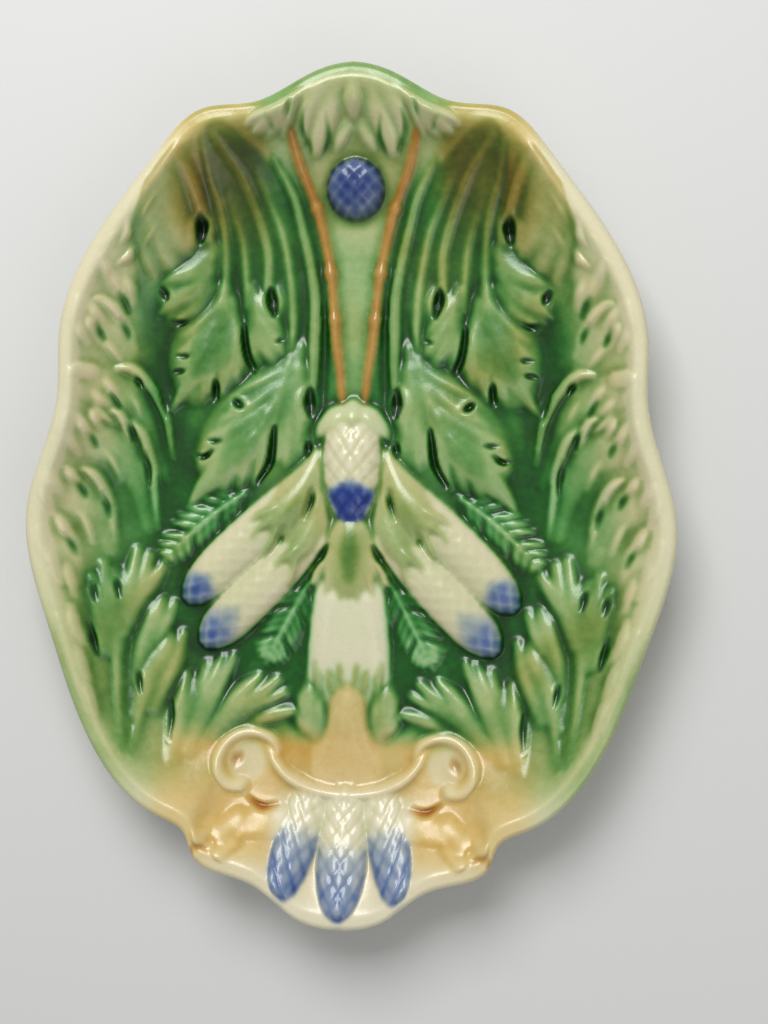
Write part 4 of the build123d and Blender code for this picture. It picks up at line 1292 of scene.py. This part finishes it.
def ornament_piece(context, node):
    """One relief ornament: its patch of the skin, closed underneath at the ground it sits on."""
    front = plate_front(context)
    owned = front.cell_owner == front.names.index(node)
    owners = grown_cells(owned)
    rows = np.flatnonzero(owners.any(axis=1))
    columns = np.flatnonzero(owners.any(axis=0))
    corner = rows[0], columns[0]
    size = rows[-1] + 1 - rows[0], columns[-1] + 1 - columns[0]
    patch = bmesh.new()
    bmesh.ops.create_grid(patch, x_segments=size[1], y_segments=size[0], size=1.0)
    spare = []
    for face in patch.faces:
        middle = face.calc_center_median()
        row = corner[0] + int((middle.y + 1) / 2 * size[0])
        column = corner[1] + int((middle.x + 1) / 2 * size[1])
        if not owners[row, column]:
            spare.append(face)
    bmesh.ops.delete(patch, geom=spare, context="FACES")
    made = bmesh.ops.extrude_face_region(patch, geom=patch.faces[:], use_keep_orig=True)
    below = [item for item in made["geom"] if isinstance(item, bmesh.types.BMVert)]
    bmesh.ops.translate(patch, verts=below, vec=(0, 0, -1))
    mesh = bpy.data.meshes.new("glazed_" + node)
    patch.to_mesh(mesh)
    patch.free()
    places, depths = grid_places(mesh, corner, size, front.x.shape[1])
    under = depths > 0.5
    spots = front.points.reshape(-1, 3)[places]
    spots[:, 2] += LIFT * (front.names.index(node) + FIRST_LIFT) * MM
    spots[~touched_points(owned).ravel()[places], 2] -= 2 * TUCK * MM
    spots[under, 2] = front.seat.ravel()[places[under]] * MM
    normals = front.normals.reshape(-1, 3)[places]
    normals[under] = (0, 0, -1)
    layers = front.layers.reshape(-1, 4)[places]
    close_mesh(mesh, spots)
    finish_piece(context, mesh, "glazed_" + node, node, layers, normals)


def close_mesh(mesh, spots):
    """Sets a mesh's points and turns its faces outwards."""
    mesh.vertices.foreach_set("co", np.asarray(spots, dtype=np.float32).ravel())
    shell = bmesh.new()
    shell.from_mesh(mesh)
    bmesh.ops.recalc_face_normals(shell, faces=shell.faces[:])
    shell.to_mesh(mesh)
    shell.free()
    mesh.update()


class PLATE_OT_body(bpy.types.Operator):
    """Body of the plate: the ground between the ornaments, the rounded lip and the plain back"""

    bl_idname = "plate.body"
    bl_label = "Plate Body"

    def execute(self, context):
        front = plate_front(context)
        size = front.cell_owner.shape
        shell = bmesh.new()
        bmesh.ops.create_grid(shell, x_segments=size[1], y_segments=size[0], size=1.0)
        hidden = front.hidden_points()
        thinned = [vertex for vertex in shell.verts if hidden[self.grid_place(vertex, size)]]
        made = bmesh.ops.extrude_face_region(shell, geom=shell.faces[:], use_keep_orig=True)
        back = [item for item in made["geom"] if isinstance(item, bmesh.types.BMVert)]
        bmesh.ops.translate(shell, verts=back, vec=(0, 0, -1))
        walls = [edge for edge in shell.edges if edge.verts[0].co.z != edge.verts[1].co.z]
        inner_back = [vertex for vertex in back if max(abs(vertex.co.x), abs(vertex.co.y)) < WITHIN_EDGE]
        bmesh.ops.unsubdivide(shell, verts=thinned, iterations=HIDDEN_THINNING)
        bmesh.ops.unsubdivide(shell, verts=inner_back, iterations=BACK_THINNING)
        bmesh.ops.subdivide_edges(shell, edges=walls, cuts=LIP_RINGS)
        mesh = bpy.data.meshes.new("glazed_plate_body")
        shell.to_mesh(mesh)
        shell.free()
        self.place_points(context, front, mesh, size)
        return {"FINISHED"}

    def grid_place(self, vertex, size):
        """Row and column of a vertex of the flat grid."""
        return round((vertex.co.y + 1) / 2 * size[0]), round((vertex.co.x + 1) / 2 * size[1])

    def place_points(self, context, front, mesh, size):
        """Puts each vertex on the skin, the seat of an ornament, the lip or the back."""
        places, depths = grid_places(mesh, (0, 0), size, front.x.shape[1])
        spots = front.points.reshape(-1, 3)[places]
        normals = front.normals.reshape(-1, 3)[places]
        layers = front.layers.reshape(-1, 4)[places]
        bare = front.cell_owner == -1
        shown = touched_points(bare).ravel()[places]
        tucked = touched_points(grown_cells(bare)).ravel()[places]
        spots[(depths == 0) & ~shown, 2] -= TUCK * MM
        sunk = (depths == 0) & ~tucked
        spots[sunk, 2] = (front.seat.ravel()[places[sunk]] - SEAT_GAP) * MM
        normals[sunk | (depths > 0)] = 0
        radius = context.scene.plate_shape.lip_radius
        for vertex in np.flatnonzero(depths > 0):
            spots[vertex] = front.lip_point(places[vertex], depths[vertex], radius)
        layers[depths > BACK_GLAZE_START] = BACK_GLAZE
        close_mesh(mesh, spots)
        finish_piece(context, mesh, "glazed_plate_body", "plate_body", layers, normals)


class PLATE_OT_foot(bpy.types.Operator):
    """Foot ring under the plate, with a rounded glazed edge"""

    bl_idname = "plate.foot"
    bl_label = "Foot Ring"

    def execute(self, context):
        low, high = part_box("foot_ring")
        breadth, length, height = (high[0] - low[0]) / 2, (high[1] - low[1]) / 2, high[2] - low[2]
        wall = FOOT_WALL * MM
        corner = FOOT_CORNER * MM
        cut = 0.3 * corner
        section = [(0, height), (0, corner), (cut, cut), (corner, 0), (wall - corner, 0), (wall - cut, cut),
                   (wall, corner), (wall, height)]
        ring = bmesh.new()
        corners = [ring.verts.new((breadth - inset, 0, level)) for inset, level in section]
        edges = [ring.edges.new(pair) for pair in zip(corners, corners[1:] + corners[:1])]
        bmesh.ops.spin(ring, geom=corners + edges, cent=(0, 0, 0), axis=(0, 0, 1), angle=math.tau,
                       steps=FOOT_STEPS, use_merge=True)
        for vertex in ring.verts:
            bearing = math.atan2(vertex.co.y, vertex.co.x)
            inset = breadth - math.hypot(vertex.co.x, vertex.co.y)
            vertex.co.x = (breadth - inset) * math.cos(bearing)
            vertex.co.y = (length - inset) * math.sin(bearing)
        bmesh.ops.recalc_face_normals(ring, faces=ring.faces[:])
        mesh = bpy.data.meshes.new("glazed_foot_ring")
        ring.to_mesh(mesh)
        ring.free()
        count = len(mesh.vertices)
        layers = np.tile(FOOT_GLAZE, (count, 1))
        normals = np.zeros((count, 3))
        finish_piece(context, mesh, "glazed_foot_ring", "foot_ring", layers, normals)
        return {"FINISHED"}


class PLATE_OT_crown(bpy.types.Operator):
    """Crown leaf, its spear head and the two stem bands"""

    bl_idname = "plate.crown"
    bl_label = "Crown"

    def execute(self, context):
        for node in ("crown_leaf", "crown_spear", "left_stem_band", "right_stem_band"):
            ornament_piece(context, node)
        return {"FINISHED"}


class PLATE_OT_acanthus(bpy.types.Operator):
    """Shoulder, fluted and lower acanthus leaves"""

    bl_idname = "plate.acanthus"
    bl_label = "Acanthus Leaves"

    def execute(self, context):
        for side in ("left_", "right_"):
            for leaf in ("shoulder_leaf", "fluted_leaf", "lower_leaf"):
                ornament_piece(context, side + leaf)
        return {"FINISHED"}


class PLATE_OT_bunch(bpy.types.Operator):
    """Bunch of asparagus: cap, spears, leaf, stalk and fronds"""

    bl_idname = "plate.bunch"
    bl_label = "Bunch"

    def execute(self, context):
        for node in ("bunch_cap", "centre_spear", "bunch_leaf", "stalk"):
            ornament_piece(context, node)
        for side in ("left_", "right_"):
            for part in ("upper_spear", "lower_spear", "upper_frond", "lower_frond"):
                ornament_piece(context, side + part)
        return {"FINISHED"}


class PLATE_OT_sprouts(bpy.types.Operator):
    """Upright sprouts along the lower floor"""

    bl_idname = "plate.sprouts"
    bl_label = "Sprouts"

    def execute(self, context):
        for side in ("left_", "right_"):
            for number in range(1, 7):
                ornament_piece(context, f"{side}sprout_{number}")
        return {"FINISHED"}


class PLATE_OT_border(bpy.types.Operator):
    """Leaves under the rim"""

    bl_idname = "plate.border"
    bl_label = "Border Leaves"

    def execute(self, context):
        for side in ("left_", "right_"):
            for number in range(1, 8):
                ornament_piece(context, f"{side}border_leaf_{number}")
        return {"FINISHED"}


class PLATE_OT_cartouche(bpy.types.Operator):
    """Trunk, rolled lip, scrolls and brackets at the foot of the plate"""

    bl_idname = "plate.cartouche"
    bl_label = "Cartouche"

    def execute(self, context):
        for node in ("trunk", "well_lip", "left_scroll", "right_scroll", "left_bracket", "right_bracket"):
            ornament_piece(context, node)
        return {"FINISHED"}


class PLATE_OT_lip_spears(bpy.types.Operator):
    """Three spear heads on the pouring lip"""

    bl_idname = "plate.lip_spears"
    bl_label = "Lip Spears"

    def execute(self, context):
        for node in ("lip_spear_centre", "left_lip_spear", "right_lip_spear"):
            ornament_piece(context, node)
        return {"FINISHED"}


class PLATE_OT_stage(bpy.types.Operator):
    """Pale floor, soft lamps and the camera"""

    bl_idname = "plate.stage"
    bl_label = "Stage"

    def execute(self, context):
        stage = context.scene.plate_stage
        sheet = bmesh.new()
        bmesh.ops.create_grid(sheet, x_segments=2, y_segments=2, size=FLOOR_HALF)
        mesh = bpy.data.meshes.new("floor")
        sheet.to_mesh(mesh)
        sheet.free()
        floor = bpy.data.objects.new("floor", mesh)
        context.collection.objects.link(floor)
        plain = bpy.data.materials.new("floor_paper")
        plain.use_nodes = True
        shader = plain.node_tree.nodes["Principled BSDF"]
        shader.inputs["Base Color"].default_value = (*stage.floor, 1)
        shader.inputs["Roughness"].default_value = 0.9
        mesh.materials.append(plain)
        self.lamp(context, "key_lamp", stage.key_power, KEY_SIZE, KEY_SPOT)
        self.lamp(context, "fill_lamp", stage.fill_power, FILL_SIZE, FILL_SPOT)
        world = bpy.data.worlds.new("even_light")
        world.use_nodes = True
        background = world.node_tree.nodes["Background"]
        background.inputs["Color"].default_value = (1, 1, 1, 1)
        background.inputs["Strength"].default_value = stage.sky
        context.scene.world = world
        view = bpy.data.cameras.new("plate_camera")
        view.lens = stage.lens
        camera = bpy.data.objects.new("plate_camera", view)
        camera.location = CAMERA_SPOT
        camera.rotation_euler = [math.radians(angle) for angle in CAMERA_TURN]
        context.collection.objects.link(camera)
        context.scene.camera = camera
        context.scene.view_settings.view_transform = "Standard"
        return {"FINISHED"}

    def lamp(self, context, name, power, size, spot):
        """Square soft lamp that faces the plate."""
        light = bpy.data.lights.new(name, "AREA")
        light.energy = power
        light.size = size
        lamp = bpy.data.objects.new(name, light)
        lamp.location = spot
        lamp.rotation_euler = (-Vector(spot)).to_track_quat("-Z", "Y").to_euler()
        context.collection.objects.link(lamp)


class PLATE_PT_panel(bpy.types.Panel):
    """Sizes, glazes and steps of the plate"""

    bl_idname = "PLATE_PT_panel"
    bl_label = "Asparagus Plate"
    bl_space_type = "VIEW_3D"
    bl_region_type = "UI"
    bl_category = "Plate"

    def draw(self, context):
        for group in (context.scene.plate_shape, context.scene.plate_glaze, context.scene.plate_stage):
            box = self.layout.box()
            for name in group.__annotations__:
                box.prop(group, name)
        for step in STEPS:
            self.layout.operator(step.bl_idname)


STEPS = (
    PLATE_OT_stage,
    PLATE_OT_body,
    PLATE_OT_foot,
    PLATE_OT_crown,
    PLATE_OT_acanthus,
    PLATE_OT_bunch,
    PLATE_OT_sprouts,
    PLATE_OT_border,
    PLATE_OT_cartouche,
    PLATE_OT_lip_spears,
)
CLASSES = (PlateShape, PlateGlaze, PlateStage) + STEPS + (PLATE_PT_panel,)


def register():
    for item in CLASSES:
        bpy.utils.register_class(item)
    bpy.types.Scene.plate_shape = bpy.props.PointerProperty(type=PlateShape)
    bpy.types.Scene.plate_glaze = bpy.props.PointerProperty(type=PlateGlaze)
    bpy.types.Scene.plate_stage = bpy.props.PointerProperty(type=PlateStage)


def unregister():
    del bpy.types.Scene.plate_stage
    del bpy.types.Scene.plate_glaze
    del bpy.types.Scene.plate_shape
    for item in reversed(CLASSES):
        bpy.utils.unregister_class(item)


def main():
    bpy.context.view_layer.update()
    register()
    for step in STEPS:
        group, name = step.bl_idname.split(".")
        getattr(getattr(bpy.ops, group), name)()


if __name__ == "__main__":
    main()
